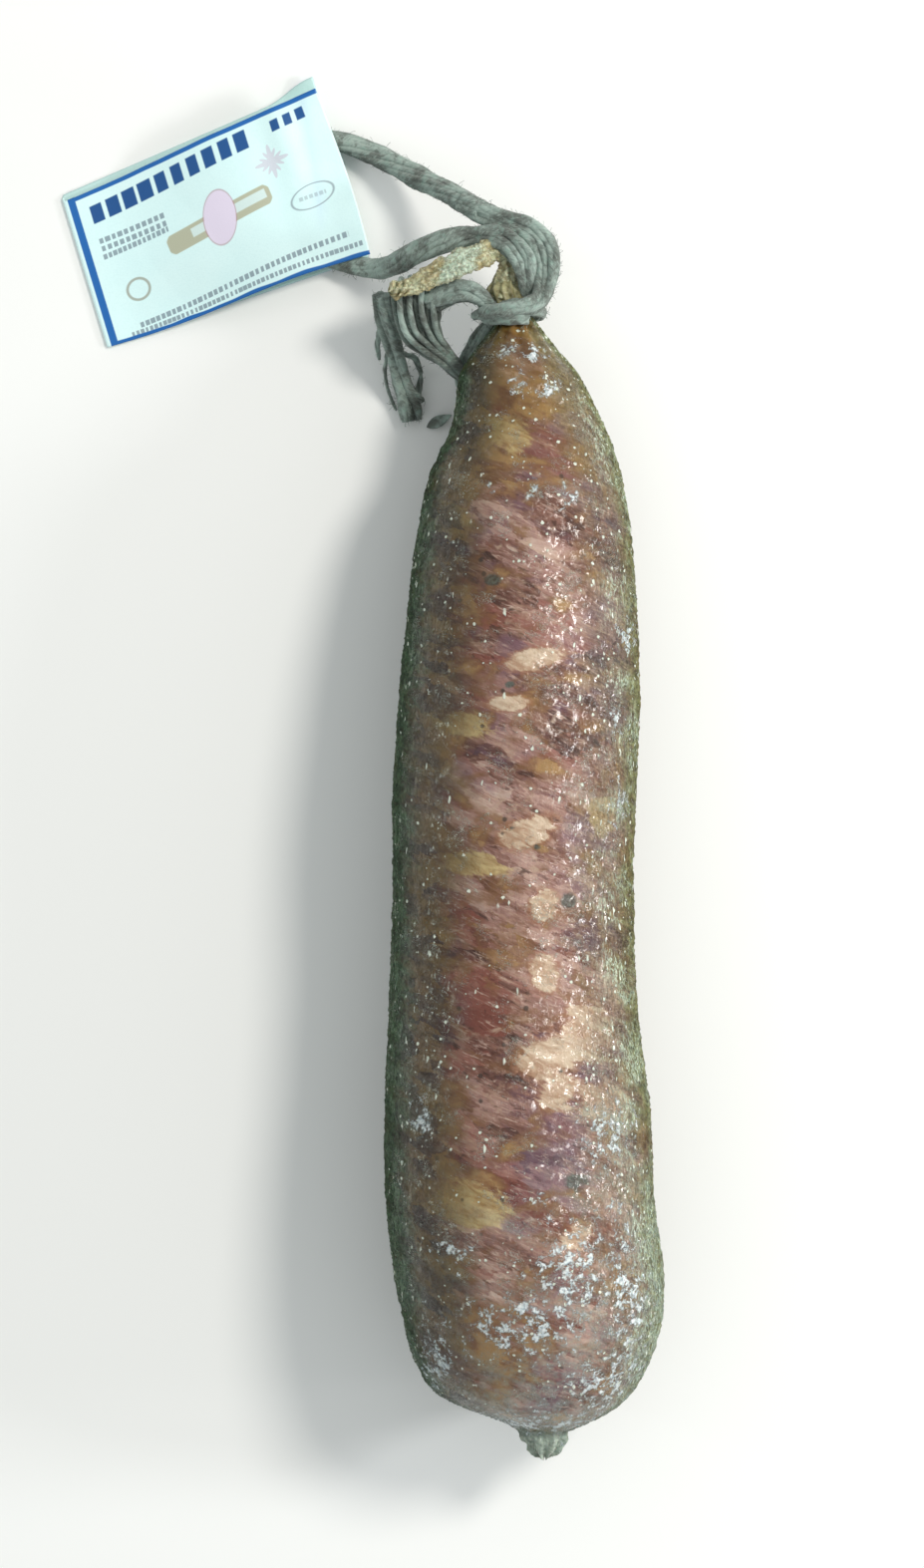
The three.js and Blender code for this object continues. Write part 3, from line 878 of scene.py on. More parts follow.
def dry_casing_material():
    """Dried casing: cream with a painted pale green highlight across its middle, ochre in its folds and
    along its edges.
    """
    made, tree, shader, place = new_material("dry_casing")
    cosine, sine = stored_amounts(tree, "cosine", "sine")
    cloud = grain(place, 0.35, 4, 0.6)
    fine = grain(place, 1.6, 4, 0.65)
    colour = mix(tree, cloud.ramp(0.38, 0.6), "ab9f74", "c6c9a6")
    x, _, _ = parts_of(place)
    # Painted highlight: pale green across the middle of the tail's run.
    green_highlight = ((x + 14.5).do("ABSOLUTE").ramp(8.0, 1.0) + (cloud - 0.5) * 2).ramp(0.3, 0.9)
    colour = mix(tree, green_highlight * 0.75, colour, "b9d0c0")
    colour = mix(tree, fine.ramp(0.5, 0.7) * 0.5, colour, "d5dcc2")
    edges = (cosine.do("ABSOLUTE") + (cloud - 0.5) * 0.8).ramp(0.75, 1.0)
    colour = mix(tree, edges * 0.45, colour, "8a7a50")
    creases = thin_lines(grain(place, 0.8, 3, 0.6), 0.06, 0.0)
    colour = mix(tree, creases * 0.6, colour, "746a47")
    colour = mix(tree, sine.ramp(0.1, -0.6) * 0.6, colour, "6d6647")
    plug(colour, shader.inputs["Base Color"])
    plug(fine * 0.2 + 0.5, shader.inputs["Roughness"])
    shader.inputs["Coat Weight"].default_value = 0.2
    shader.inputs["Coat Roughness"].default_value = 0.25
    shader.inputs["Subsurface Weight"].default_value = 0.1
    shader.inputs["Subsurface Scale"].default_value = 0.002
    plug(bumped(tree, fine * 0.8 + creases * -0.8, 0.8, 0.25), shader.inputs["Normal"])
    return made


tail = grown(
    route_object("casing_tail", from_tie(TAIL_ROUTE)),
    tail_tree(),
    step=0.16 * MM,
    sides=72,
    fold_depth=0.42,
    crumple=1.3,
    material=dry_casing_material(),
)
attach(tail, "root")
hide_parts("sausage")


# ---------------------------------------------------------------- knot
# Cotton twine of soft, loosely laid yarns, greyed by handling. It is wound round the neck, over
# itself and round the casing's tail, and pulled tight, so that its yarns spread into fans.

FLOOR_GAP = 0.05 * MM

# Sideways and beyond the tie, then the height above the neck's middle; then width and thickness.
WRAPS = {
    "knot_outer_wrap": [
        (-14, 26.2, -0.2, 5.4, 4.8),
        (-9.5, 23.6, 2.4, 5.6, 4.6),
        (-5, 21.4, 3.8, 5.8, 4.2),
        (-1, 20, 5, 6.2, 4),
        (2.8, 17.8, 5, 7.4, 4),
        (5, 14.4, 4.4, 8, 4),
        (5.4, 10.2, 3.6, 7.8, 4),
        (5, 6.2, 3.6, 6, 4),
        (3.6, 2.8, 5, 4.8, 3.8),
        (0.6, 1.2, 6.6, 4.4, 3.6),
        (-4, 0.5, 6.8, 4.2, 3.4),
        (-8.2, 0.2, 4.4, 4, 3.4),
        (-11.4, -0.4, 1, 2.6, 2.6),
    ],
    "knot_inner_wrap": [
        (-14, 17.4, 1, 4.8, 4.6),
        (-9.5, 18, 3, 5.4, 4.6),
        (-5.4, 17.2, 4.8, 6.2, 4.2),
        (-2, 14.8, 5.6, 7, 4),
        (0, 11.6, 5, 6.6, 3.8),
        (0.8, 8, 4, 5, 3.6),
        (1, 4.4, 2, 3.8, 3.4),
    ],
    "knot_middle_wrap": [
        (-22, 3, 1, 4.8, 3.6),
        (-19.6, 3.6, 2, 5.2, 3.8),
        (-16, 4.8, 3.4, 5.8, 3.8),
        (-12.8, 5, 4.4, 5.8, 4),
        (-9.8, 3.8, 4.2, 5, 3.8),
        (-7.8, 1.6, 3, 4.2, 3.6),
        (-6, -0.2, 1.6, 3.4, 3.2),
    ],
    "knot_left_wraps": [
        (-24.8, 8.2, 0, 10, 3.4),
        (-24.6, 5.6, 1.8, 12.6, 3.4),
        (-24.4, 1.4, 1.4, 12.8, 3.4),
        (-23.4, -3, -0.8, 11.4, 3.4),
        (-20.8, -6.4, -3.8, 8, 3.6),
        (-17.6, -9, -7.2, 5.4, 4),
        (-14.6, -11.6, -10.8, 4.6, 4),
        (-12, -14, -13.2, 4.4, 4),
        (-9.4, -16, -14.6, 4, 3.6),
    ],
    "knot_hidden_wraps": [
        (-25.4, 6, -1.4, 10.4, 3.2),
        (-25, 1, -2, 10, 3.2),
        (-23.8, -3.6, -4, 8, 3.2),
        (-20.8, -7, -7, 5, 3.2),
        (-16.2, -10, -10, 3.6, 3.2),
    ],
    "knot_behind": [
        (-5.5, -1, -4.6, 3.8, 3.6),
        (-8.8, -3.2, -7, 4.2, 3.8),
        (-11.6, -7, -10, 4.2, 3.8),
        (-13.4, -11.4, -12.8, 4.2, 3.8),
        (-13.4, -14.6, -14.6, 4, 3.6),
        (-9.6, -15, -15, 3.8, 3.4),
        (-5, -13.4, -15, 3.4, 3.2),
    ],
}

# The ring that closes the neck: a little more than one turn, climbing by its pitch.
RING_RADIUS = 5.9
RING_MIDDLE = -2.2
RING_PITCH = 2.2
WRAPS["knot_neck_ring"] = [
    (
        RING_MIDDLE + RING_RADIUS * math.cos(math.radians(angle)),
        (angle - 270) / 360 * RING_PITCH,
        RING_RADIUS * math.sin(math.radians(angle)),
        3.8,
        3.6,
    )
    for angle in range(60, 500, 20)
]

# Yarns, their radius, fan (0 is a round rope, 1 lies flat), turns along it, and wander, for each.
WRAP_LAYS = {
    "knot_outer_wrap": (12, 0.9, 0.8, 0.3, 0.75),
    "knot_inner_wrap": (12, 0.84, 0.8, 0.3, 0.75),
    "knot_middle_wrap": (11, 0.84, 0.8, 0.3, 0.7),
    "knot_left_wraps": (9, 0.7, 1.0, 0.0, 0.35),
    "knot_hidden_wraps": (9, 0.8, 0.9, 0.0, 0.6),
    "knot_behind": (9, 0.8, 0.2, 0.4, 0.4),
    "knot_neck_ring": (9, 0.72, 0.2, 1.0, 0.3),
}


def joined(tree, first, second):
    made = node(tree, "GeometryNodeJoinGeometry", {0: first})
    plug(second, made.inputs[0])
    return made.outputs[0]


def yarn_tree():
    """Yarns laid along a route, in a round rope or spread flat, with loose fibres on them."""
    tree, enter, leave = new_tree(
        "laid_yarns",
        {
            "Step": "Float",
            "Yarns": "Int",
            "Yarn Radius": "Float",
            "Fan": "Float",
            "Turns": "Float",
            "Wander": "Float",
            "Core": "Float",
            "Splay": "Float",
            "Fibres": "Float",
            "Fibre Length": "Float",
            "Seed": "Int",
            "Material": "Material",
        },
    )
    get = enter.outputs
    seed = Amount(get["Seed"])
    route, side, up = smooth_route(tree, get["Geometry"], get["Step"])
    # One copy of the route for each yarn, moved to its own place in the lay, and wandering there.
    amounts = {"Geometry": route, "Amount": get["Yarns"]}
    copies = node(tree, "GeometryNodeDuplicateElements", amounts, domain="SPLINE")
    index = Amount(copies.outputs["Duplicate Index"])
    share = (index + 0.5) / get["Yarns"]
    factor, length = spline_place(tree)
    length = length * (1 / MM)
    wide = Amount(named(tree, "wide")) - Amount(get["Yarn Radius"]) * 2
    thick = Amount(named(tree, "thick")) - Amount(get["Yarn Radius"]) * 2
    drift = [
        (grain(vector(tree, length * 0.11, index * 3.7 + k * 31.7, seed * 5.3), 1.0, 3, 0.6) - 0.5)
        * get["Wander"] * 4
        for k in range(2)
    ]
    turn = (share + factor * get["Turns"]) * (2 * math.pi)
    odd = index.do("MODULO", 2) - 0.5
    flat_across = share - 0.5
    flat_up = odd * 0.55 + (flat_across * flat_across) * -1.2 + 0.1
    fan = Amount(get["Fan"])
    round_share = fan * -1 + 1
    across = turn.do("COSINE") * 0.5 * round_share + flat_across * fan
    lift = turn.do("SINE") * 0.5 * round_share + flat_up * fan
    loosened = factor.ramp(0.8, 1.0) * get["Splay"] + 1
    offset = two_ways(
        tree,
        side,
        (across * wide * loosened + drift[0]) * MM,
        up,
        (lift * thick + drift[1] * 0.6) * MM,
    )
    yarns = stored(tree, copies.outputs[0], "yarn", index * 0.37 + seed * 0.61)
    yarns = stored(tree, yarns, "along", length)
    # How deep each yarn lies in the lay, which the material paints as shade.
    yarns = stored(tree, yarns, "deep", (lift * -1).ramp(-0.3, 0.45))
    yarns = moved(tree, yarns, "Offset", offset)
    swell = grain(vector(tree, length * 0.3, index * 9.1, seed), 1.0, 2, 0.5) * 0.5 + 0.75
    tapered = factor.ramp(1.0, 0.93, 0.55, 1.0)
    radius = swell * tapered * get["Yarn Radius"] * MM
    yarns = node(tree, "GeometryNodeSetCurveRadius", {"Curve": yarns, "Radius": radius}).outputs[0]
    # A round rope has a core too, so that no light shows between its yarns.
    # The core is marked fully deep, so the material paints it in full shade.
    core = stored(tree, route, "deep", 1.0)
    core = stored(tree, core, "along", length)
    core_radius = Amount(named(tree, "thick")) * get["Core"] * (0.5 * MM)
    core = node(tree, "GeometryNodeSetCurveRadius", {"Curve": core, "Radius": core_radius}).outputs[0]
    lines = joined(tree, yarns, core)
    radius_there = node(tree, "GeometryNodeInputRadius").outputs[0]
    tubes = swept(tree, lines, round_profile(tree, 8, 1.0), Scale=radius_there)
    tubes = shaded_smooth(tree, tubes)

    # Short bent fibres stand out all over the yarns.
    roots = node(
        tree,
        "GeometryNodeDistributePointsOnFaces",
        {"Mesh": tubes, "Density": get["Fibres"], "Seed": get["Seed"]},
        distribute_method="RANDOM",
    )
    bent = node(
        tree,
        "GeometryNodeCurveQuadraticBezier",
        {"Resolution": 3, "Start": (0, 0, -0.1), "Middle": (0.3, 0.1, 0.42), "End": (1.1, 0.3, 0.4)},
    ).outputs[0]
    thin = node(tree, "GeometryNodeCurvePrimitiveCircle", {"Resolution": 3, "Radius": 0.035}).outputs[0]
    fibre = swept(tree, bent, thin)
    spin = node(
        tree,
        "FunctionNodeRandomValue",
        {"Min": (-0.7, -0.7, -3.14), "Max": (0.7, 0.7, 3.14), "Seed": get["Seed"]},
        data_type="FLOAT_VECTOR",
    ).outputs[0]
    rotations = {"Rotation": roots.outputs["Rotation"], "Rotate By": spin}
    turned = node(tree, "FunctionNodeRotateRotation", rotations, rotation_space="LOCAL").outputs[0]
    lengths = {2: 0.45, 3: 1.2, "Seed": get["Seed"]}
    size = node(tree, "FunctionNodeRandomValue", lengths, data_type="FLOAT").outputs[1]
    scale = Amount(size) * get["Fibre Length"] * MM
    planted = node(
        tree,
        "GeometryNodeInstanceOnPoints",
        {"Points": roots.outputs["Points"], "Instance": fibre, "Rotation": turned, "Scale": scale},
    ).outputs[0]
    fibres = node(tree, "GeometryNodeRealizeInstances", {"Geometry": planted}).outputs[0]
    whole = joined(tree, tubes, fibres)
    x, y, z = parts_of(position(tree))
    clear = moved(tree, whole, "Position", vector(tree, x, y, z.do("MAXIMUM", FLOOR_GAP)))
    end_tree(tree, clear, enter, leave)
    return tree


def twine_material():
    """Cotton yarn with fine slanting fibres, grey-green, darker with grime, and with painted shade deep in
    the lay.
    """
    made, tree, shader, place = new_material("cotton_twine")
    yarn, along, deep, cosine, sine = stored_amounts(tree, "yarn", "along", "deep", "cosine", "sine")
    angle = sine.do("ARCTAN2", cosine) + along * 1.1
    strand = vector(tree, angle.do("COSINE") * 1.1 + yarn * 7, angle.do("SINE") * 1.1, along * 0.22)
    fibre = grain(strand, 2.4, 4, 0.65)
    cloud = grain(place, 0.16, 4, 0.6)
    smudge = grain(place, 0.5, 3, 0.6)
    fine = grain(place, 3.0, 2, 0.6)
    colour = mix(tree, cloud.ramp(0.38, 0.6), "6b726c", "9cada5")
    colour = mix(tree, fibre.ramp(0.48, 0.72) * 0.65, colour, "bccfc4")
    colour = mix(tree, fibre.ramp(0.45, 0.28) * 0.6, colour, "4a504b")
    colour = mix(tree, smudge.ramp(0.52, 0.66) * 0.6, colour, "565a54")
    colour = mix(tree, smudge.ramp(0.46, 0.32) * 0.45, colour, "98b6aa")
    # Painted shade: darker deep in the lay, between and under the yarns.
    colour = mix(tree, deep * 0.6, colour, "3d443d")
    plug(colour, shader.inputs["Base Color"])
    shader.inputs["Roughness"].default_value = 0.92
    shader.inputs["Specular IOR Level"].default_value = 0.15
    shader.inputs["Sheen Weight"].default_value = 0.25
    shader.inputs["Sheen Roughness"].default_value = 0.5
    plug(bumped(tree, fibre + fine * 0.35, 1.0, 0.3), shader.inputs["Normal"])
    return made


TWINE_PAINT = twine_material()
YARNS = yarn_tree()


def twine(name, route, lay, **more):
    """Yarns along a route of points in metres, with the width and thickness in millimetres."""
    yarns, radius, fan, turns, wander = lay
    sizes = {"step": 0.6 * MM, "core": 0.0, "splay": 0.0, "fibres": 4.0e5, "fibre_length": 1.2}
    sizes.update(more)
    made = grown(
        route_object(name, route),
        YARNS,
        yarns=yarns,
        yarn_radius=radius,
        fan=fan,
        turns=turns,
        wander=wander,
        material=TWINE_PAINT,
        **sizes,
    )
    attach(made, "root")
    return made


for seed, (name, points) in enumerate(WRAPS.items()):
    piece = twine(name, from_tie(points), WRAP_LAYS[name], seed=seed + 3)
    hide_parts("twine_knot")


# ---------------------------------------------------------------- free end
# The twine's cut end hangs from the left of the knot to the floor, flattened and frayed, with
# loose yarns beside it. A small dry, leaf-shaped scrap, as grey as the twine, lies next to it.

TWINE_DIAMETER = 5
LOOSE_RADIUS = 0.8

# Sideways and beyond the tie, then the height above the lowest place; then width and thickness.
END_ROUTE = [
    (-32.3, 4.6, 16.6, 4.6, 4.4),
    (-31.6, 0.6, 13.8, 4.8, 4.4),
    (-30.4, -4, 10, 4.8, 4.2),
    (-29, -9, 6, 4.6, 4),
    (-27.6, -14.5, 1.9, 5, 4),
    (-26.4, -19, 0.3, 5.4, 3.8),
    (-25.8, -22.6, 0.2, 5, 3.4),
]
LOOSE_YARNS = {
    "loose_side_yarn": [
        (-27.4, -7.6, 8, 1.6, 1.4),
        (-25, -8.6, 6.4, 1.6, 1.4),
        (-23.6, -11.4, 4.4, 1.5, 1.3),
        (-23.8, -14.6, 2.4, 1.5, 1.3),
        (-24.8, -17.6, 1.6, 1.4, 1.2),
    ],
    "loose_thin_yarn": [
        (-31, -7, 8.6, 0.9, 0.8),
        (-31.8, -11, 5.4, 0.8, 0.7),
        (-31.2, -15.4, 2.2, 0.8, 0.7),
        (-29.2, -20, 0.6, 0.7, 0.6),
    ],
    "loose_left_wisp": [
        (-31.4, 3, 15, 1.8, 1.2),
        (-32.8, -1, 12.6, 1.8, 1.2),
        (-33.4, -5.4, 9.6, 1.6, 1.0),
        (-33, -9, 7.6, 1.0, 0.7),
    ],
    "loose_stub": [
        (-26.6, -14.6, 3.6, 2, 1.6),
        (-24.6, -16.4, 3.2, 2, 1.4),
        (-23.2, -18.4, 2.6, 1.6, 1.2),
    ],
}


def on_floor(points, lowest):
    """Route points given beyond the tie and above their lowest place, in metres."""
    return [(x * MM, TIE_Y + y * MM, (z + lowest) * MM, wide, thick) for x, y, z, wide, thick in points]


END_LAY = (9, 0.86, 0.3, 0.35, 0.4)
end_route = on_floor(END_ROUTE, TWINE_DIAMETER / 2)
free_end = twine("twine_free_end", end_route, END_LAY, core=0.55, splay=0.35, seed=21)
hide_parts("twine_end")
LOOSE_LAY = (3, 0.36, 0.3, 1.5, 0.3)
for seed, (name, points) in enumerate(LOOSE_YARNS.items()):
    piece = twine(name, on_floor(points, LOOSE_RADIUS), LOOSE_LAY, step=0.4 * MM, seed=seed + 31)

# The scrap: a thin leaf that curls up along both edges.
SCRAP_TIP = Vector((-22.2, TIE_Y / MM - 23.9, 0.9))
SCRAP_STALK = Vector((-16.4, TIE_Y / MM - 21.1, 2.2))
SCRAP_HALF_WIDTH = 1.25 * MM
SCRAP_BLUNTNESS = 0.06 * MM
SCRAP_CURL = 0.5 * MM
SCRAP_THICKNESS = 0.25 * MM
SCRAP_ROWS = 12
scrap_rows = []
for row in range(SCRAP_ROWS + 1):
    share = row / SCRAP_ROWS
    half = SCRAP_HALF_WIDTH * math.sin(math.pi * share**0.8) + SCRAP_BLUNTNESS
    middle = SCRAP_TIP.lerp(SCRAP_STALK, share) * MM
    curl = SCRAP_CURL * math.sin(math.pi * share)
    scrap_rows.append(
        [
            (middle.x - 0.43 * half * side, middle.y + 0.9 * half * side, middle.z + curl * side * side)
            for side in np.linspace(-1, 1, 9)
        ]
    )


def sheet_mesh(name, rows, thickness):
    """A closed thin sheet over a grid of points: its outer side first, then its inner side."""
    centre = np.array(rows, dtype=float)
    normal = np.cross(np.gradient(centre, axis=0), np.gradient(centre, axis=1))
    normal /= np.linalg.norm(normal, axis=2, keepdims=True)
    long, wide, _ = centre.shape
    both = np.concatenate([(centre + normal * side * thickness / 2).reshape(-1, 3) for side in (1, -1)])
    under = long * wide
    faces = []
    for i in range(long - 1):
        for j in range(wide - 1):
            a = i * wide + j
            faces.append((a, a + wide, a + wide + 1, a + 1))
            faces.append((under + a, under + a + 1, under + a + wide + 1, under + a + wide))
    rim = [i * wide for i in range(long)]
    rim += [(long - 1) * wide + j for j in range(1, wide)]
    rim += [i * wide + wide - 1 for i in range(long - 2, -1, -1)]
    rim += list(range(wide - 2, 0, -1))
    faces += [(b, a, under + a, under + b) for a, b in zip(rim, rim[1:] + rim[:1])]
    made = mesh_object(name, both, faces)
    made.data.shade_smooth()
    return made


scrap = sheet_mesh("dry_scrap", scrap_rows, SCRAP_THICKNESS)
scrap.data.materials.append(TWINE_PAINT)
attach(scrap, "root")


# ---------------------------------------------------------------- label
# One strip of thin coated paper, printed in blue and folded double over the hanging loop. The
# fold is at its left end. The upper leaf rides over the loop, and the lower leaf lies on the floor.

# The label's own sizes, in plain millimetres.
LABEL_LENGTH = 62.5
LABEL_WIDTH = 39.0
LABEL_TURN = math.radians(23.4)
LABEL_MOUTH = (-43.0, TIE_Y / MM + 37)
PAPER_THICKNESS = 0.22
LOWER_HEIGHT = 0.25
UPPER_HEIGHT = 0.9
LOOP_TOP = 6.5
LEAF_SKEW = 1.9
LABEL_COLUMNS = 79


def eased(low, high, value):
    """Rises smoothly from 0 to 1 as the value goes from low to high."""
    t = min(max((value - low) / (high - low), 0), 1)
    return t * t * (3 - 2 * t)


# Where the label's corners lie, along it from its left end and up from its lower edge.
CORNERS = {
    "left low": (-2.8, 1.8),
    "right low": (60.8, -3.2),
    "left high": (1.2, 37.0),
    "right high": (65.0, 36.8),
}


def label_point(across, up, height):
    """A place on the label, from its left end and its lower edge, in metres."""
    u = across / LABEL_LENGTH
    v = up / LABEL_WIDTH
    shares = ((1 - u) * (1 - v), u * (1 - v), (1 - u) * v, u * v)
    ahead = sum(part * corner[0] for part, corner in zip(shares, CORNERS.values())) - LABEL_LENGTH
    aside = sum(part * corner[1] for part, corner in zip(shares, CORNERS.values())) - LABEL_WIDTH / 2
    x = LABEL_MOUTH[0] + ahead * math.cos(LABEL_TURN) - aside * math.sin(LABEL_TURN)
    y = LABEL_MOUTH[1] + ahead * math.sin(LABEL_TURN) + aside * math.cos(LABEL_TURN)
    return (x * MM, y * MM, height * MM)


def upper_height(across, up):
    """How high the upper leaf lies: flat near the fold, then over the loop with a gentle wave."""
    rise = eased(6, 45, across) * (LOOP_TOP - UPPER_HEIGHT) + UPPER_HEIGHT
    wave = 0.35 * math.sin(across * 0.16 + up * 0.07) * eased(4, 20, across)
    crest = 0.8 * math.exp(-(((across - 52) / 3.5) ** 2)) * eased(0, 30, up)
    droop = -1.6 * eased(12, 0, up) * eased(34, 50, across) * eased(LABEL_LENGTH, 54, across)
    corner = 1.2 * eased(30, LABEL_WIDTH, up) * eased(52, 62, across)
    return rise + max(wave, -0.1) + crest + max(droop, -0.9) * 0.5 + corner


def lower_leaf(across, up):
    """The lower leaf slants out past the upper one, and its far corner lifts off the floor."""
    slant = LEAF_SKEW * eased(0, LABEL_WIDTH, up)
    corner = LEAF_SKEW * eased(28, LABEL_WIDTH, up) * eased(50, 61, across)
    lift = 1.4 * eased(34, LABEL_WIDTH, up) * eased(54, 62, across)
    return label_point(across, up + slant + corner, LOWER_HEIGHT + lift)


def fold(bend, up):
    """The paper as it bends over, from the lower leaf (0) to the upper one (1)."""
    slant = LEAF_SKEW * eased(0, LABEL_WIDTH, up) * (1 - bend)
    middle = (LOWER_HEIGHT + UPPER_HEIGHT) / 2
    half = (UPPER_HEIGHT - LOWER_HEIGHT) / 2
    height = middle - half * math.cos(math.pi * bend)
    return label_point(-0.45 * math.sin(math.pi * bend), up + slant, height)


def upper_leaf(across, up):
    """The upper leaf lies over the loop, with a gentle wave along its mouth and its lower edge."""
    mouth = 0.9 * math.sin(up * 0.08 + 0.4) * eased(50, 62, across)
    edge = 0.5 * math.sin(across * 0.1) * (1 - up / LABEL_WIDTH)
    height = upper_height(across, up) if across > 0 else UPPER_HEIGHT
    return label_point(across + mouth, up - edge, height)


# Rows of points from the lower leaf's mouth round the fold to the upper leaf's mouth. The lower
# leaf is narrower by these margins, which close at the fold.
LOW_MARGIN = 0.3
HIGH_MARGIN = 0.1
label_rows = []
print_u = []
for share in np.linspace(0, 1, 126):
    across = LABEL_LENGTH * (1 - share)
    ups = np.linspace(LOW_MARGIN, LABEL_WIDTH - HIGH_MARGIN, LABEL_COLUMNS)
    label_rows.append([lower_leaf(across, up) for up in ups])
    print_u.append(across)
for bend in np.linspace(0, 1, 9)[1:-1]:
    ups = np.linspace(LOW_MARGIN * (1 - bend), LABEL_WIDTH - HIGH_MARGIN * (1 - bend), LABEL_COLUMNS)
    label_rows.append([fold(bend, up) for up in ups])
    print_u.append(0.0)
for share in np.linspace(0, 1, 190):
    across = LABEL_LENGTH * share
    ups = np.linspace(0, LABEL_WIDTH, LABEL_COLUMNS)
    label_rows.append([upper_leaf(across, up) for up in ups])
    print_u.append(across)


def label_material():
    """Coated white paper with a blue border and plain printed bars, shapes and rings."""
    made, tree, shader, place = new_material("printed_paper")
    u, v, printed = stored_amounts(tree, "print_u", "print_v", "printed")

    def band(value, middle, half, soft=0.12):
        """A soft-edged stripe, as far as half to each side of its middle."""
        return (value - middle).do("ABSOLUTE").ramp(half + soft, half - soft)

    def turned_about(middle_u, middle_v, tilt):
        """Ways along and across from a middle, turned by a tilt in degrees."""
        cosine = math.cos(math.radians(tilt))
        sine = math.sin(math.radians(tilt))
        along = u - middle_u
        across = v - middle_v
        return along * cosine + across * sine, across * cosine - along * sine

    def box(middle_u, middle_v, half_u, half_v, tilt):
        along, across = turned_about(middle_u, middle_v, tilt)
        return band(along, 0, half_u, 0.15) * band(across, 0, half_v, 0.15)

    def oval(middle_u, middle_v, half_u, half_v, tilt=0.0):
        """Distance from an oval's middle, where 1 is its outline."""
        along, across = turned_about(middle_u, middle_v, tilt)
        far_u = along / half_u
        far_v = across / half_v
        return (far_u * far_u + far_v * far_v).do("SQRT")

    def bars(start, end, middle, height, pitch, seed, fewest=0.55, most=0.85, slope=0.0, soft=0.09):
        """A row of plain bars, each from the fewest to the most share of its pitch wide."""
        cell = ((u - start) / pitch).do("FLOOR")
        inside = (u - start) / pitch - cell
        chance = node(tree, "ShaderNodeTexWhiteNoise", {"W": cell + seed * 17.3}, noise_dimensions="1D")
        half = (Amount(chance.outputs["Value"]) * (most - fewest) + fewest) * 0.5
        bar = ((inside - 0.5).do("ABSOLUTE") - half).ramp(soft / pitch, -soft / pitch)
        row = band(v - u * slope, middle - start * slope, height / 2, soft)
        return bar * row * band(u, (start + end) / 2, (end - start) / 2, 0.05)

    paper_grain = grain(place, 2.5, 3, 0.6)
    cloud = grain(place, 0.06, 2, 0.5)
    paper = mix(tree, cloud, "d6f8fa", "e6ffff")
    paper = mix(tree, paper_grain.ramp(0.4, 0.7) * 0.2, paper, "c6e8ec")
    # Painted shade and reflection: a pale blue band along the crest where the upper leaf rides over the
    # loop.
    shade = band(u - v * 0.16, 52.6, 0.4, 2.4) * v.ramp(6.0, 16.0)
    paper = mix(tree, shade * 0.5, paper, "bcd9f6")

    banner = box(32.5, 19.6, 13, 2.4, 5.5) * oval(32.5, 19.6, 13.6, 5.4, 5.5).ramp(1.0, 0.97)
    colour = mix(tree, banner * 0.85, paper, "b0ac8c")
    colour = mix(tree, box(35, 20.2, 9.4, 1.1, 5.5) * 0.9, colour, "d9efee")
    figure = oval(32.8, 20, 3.9, 6.4, -9)
    colour = mix(tree, figure.ramp(1.0, 0.95), colour, "e6dcf0")
    colour = mix(tree, band(figure, 1.0, 0.025, 0.03) * 0.75, colour, "b57f92")
    star_u = u - 47.8
    star_v = v - 27.4
    far = (star_u * star_u + star_v * star_v).do("SQRT")
    spokes = star_v.do("ARCTAN2", star_u)
    reach = (spokes * 12).do("COSINE") * 0.8 + (spokes * 4).do("COSINE") * 0.7 + 2.6
    rays = (reach - far).ramp(-0.1, 0.15)
    colour = mix(tree, rays * 0.6, colour, "cdc0d2")
    badge = band(oval(54, 16.6, 4.8, 2.6, 8), 1.0, 0.05, 0.04)
    colour = mix(tree, badge * 0.75, colour, "7f8f9c")
    colour = mix(tree, bars(51, 57, 16.6, 0.9, 1.1, 5, soft=0.1) * 0.45, colour, "7f8f9c")
    ring = band(oval(10.2, 11.6, 2.6, 2.6), 1.0, 0.12, 0.06)
    colour = mix(tree, ring * 0.8, colour, "9a9a8a")

    small = bars(4.5, 20.7, 26.1, 1.3, 1.5, 1)
    small = small.do("MAXIMUM", bars(4.5, 20.7, 24.1, 1.3, 1.5, 2))
    small = small.do("MAXIMUM", bars(4.5, 20.7, 22.0, 1.3, 1.2, 3, slope=0.04))
    small = small.do("MAXIMUM", bars(8, 59, 2.9, 1.3, 1.3, 6, 0.45, 0.9, 0.058))
    small = small.do("MAXIMUM", bars(5.5, 61.5, 1.3, 1.1, 1.1, 7, 0.45, 0.95, 0.03))
    colour = mix(tree, small * 0.7, colour, "56657a")
    large = bars(4.2, 44.4, 32.9, 4.5, 4.02, 9, 0.62, 0.84, 0.045, 0.14)
    large = large.do("MAXIMUM", bars(49.3, 58.7, 34.9, 2.6, 3.13, 4, 0.5, 0.66, 0.05, 0.14))
    colour = mix(tree, large, colour, "0a4f8f")

    edge_wave = (grain(vector(tree, u * 0.09, 0.0, 3.0), 1.0, 1) - 0.5) * 1.2
    border = band(u, 1.3, 0.85)
    border = border.do("MAXIMUM", band(v + edge_wave * 0.3, 38.4, 0.55) * u.ramp(0.5, 0.7))
    border = border.do("MAXIMUM", band(v + edge_wave, 0.3, 0.6) * u.ramp(0.5, 0.7))
    colour = mix(tree, border, colour, "0863b0")
    # The unprinted side is painted a darker grey-green: partly the paper's back, partly painted shade inside
    # the fold.
    plain = mix(tree, paper_grain, "b4d8d4", "cdeae8")
    plug(mix(tree, printed.ramp(0.35, 0.65), plain, colour), shader.inputs["Base Color"])

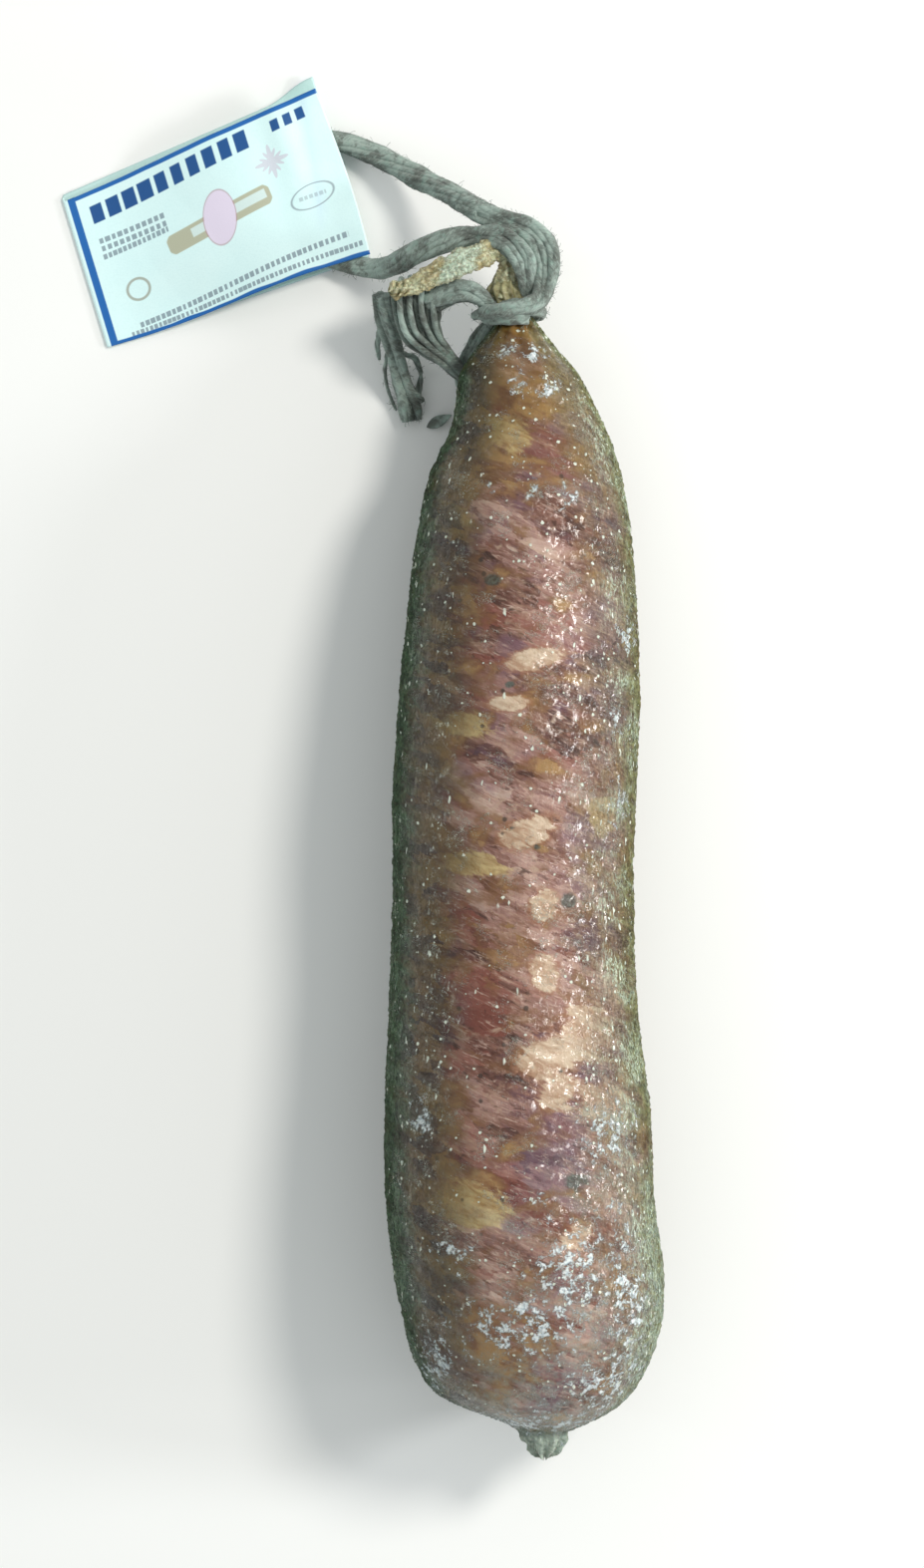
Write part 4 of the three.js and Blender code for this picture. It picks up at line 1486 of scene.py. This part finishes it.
    plug(paper_grain * 0.15 + 0.3, shader.inputs["Roughness"])
    shader.inputs["Specular IOR Level"].default_value = 0.45
    shader.inputs["Coat Weight"].default_value = 0.35
    shader.inputs["Coat Roughness"].default_value = 0.16
    plug(bumped(tree, paper_grain * 0.25 + cloud * 3.0, 0.5, 0.2), shader.inputs["Normal"])
    return made


label = sheet_mesh("paper_label", label_rows, PAPER_THICKNESS * MM)
label.data.materials.append(label_material())
side_u = np.repeat(print_u, LABEL_COLUMNS)
side_v = np.tile(np.linspace(0, LABEL_WIDTH, LABEL_COLUMNS), len(label_rows))
for label_name, values in (
    ("print_u", np.tile(side_u, 2)),
    ("print_v", np.tile(side_v, 2)),
    ("printed", np.repeat([1.0, 0.0], len(side_u))),
):
    label.data.attributes.new(label_name, "FLOAT", "POINT").data.foreach_set("value", values)
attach(label, "root")
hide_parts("label")


# ---------------------------------------------------------------- hanging loop
# A bight of the same twine, left long to hang the sausage by. It comes down from the knot to the
# floor, runs through the fold of the label, and goes back. It is matted, and darker where its core
# and lower yarns are painted in shade.

LOOP_CLEARANCE = 0.3
LEAF_ROOM = 0.4

# Sideways and beyond the tie, then the height above the lowest place; then width and thickness.
LOOP_ROUTE = [
    (-9.5, 23.2, 18, 5.4, 4.6),
    (-13, 25.6, 15.5, 5.4, 4.6),
    (-19, 29.8, 9.5, 5.2, 4.6),
    (-26, 34.2, 4.5, 5.4, 4.6),
    (-33, 38.4, 1.4, 5.2, 4.6),
    (-41, 41.6, 0, 4.8, 4.5),
    (-48, 42.2, 0, 4.6, 4.4),
    (-53.5, 38.5, 0, 4.6, 4.4),
    (-55.4, 30.5, 0, 4.6, 4.4),
    (-53.4, 22.4, 0, 4.6, 4.4),
    (-48, 16.8, 0, 4.6, 4.4),
    (-40.5, 13.9, 0, 4.8, 4.5),
    (-34.5, 12.5, 2.5, 5, 4.6),
    (-29.8, 12.6, 7.5, 5.2, 4.6),
    (-25, 14.4, 13, 5.4, 4.8),
    (-19, 16.4, 16.5, 5.6, 4.8),
    (-14, 17.6, 17.6, 5.2, 4.6),
    (-9.5, 18, 18, 4.8, 4.4),
]


LOOP_LAY = (10, 0.88, 0.0, 1.6, 0.35)
loop_route = on_floor(LOOP_ROUTE, LEAF_ROOM + LOOP_CLEARANCE + TWINE_DIAMETER / 2)
loop = twine("hanging_loop", loop_route, LOOP_LAY, core=0.6, fibres=2.0e5, seed=11)
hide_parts("twine_loop")
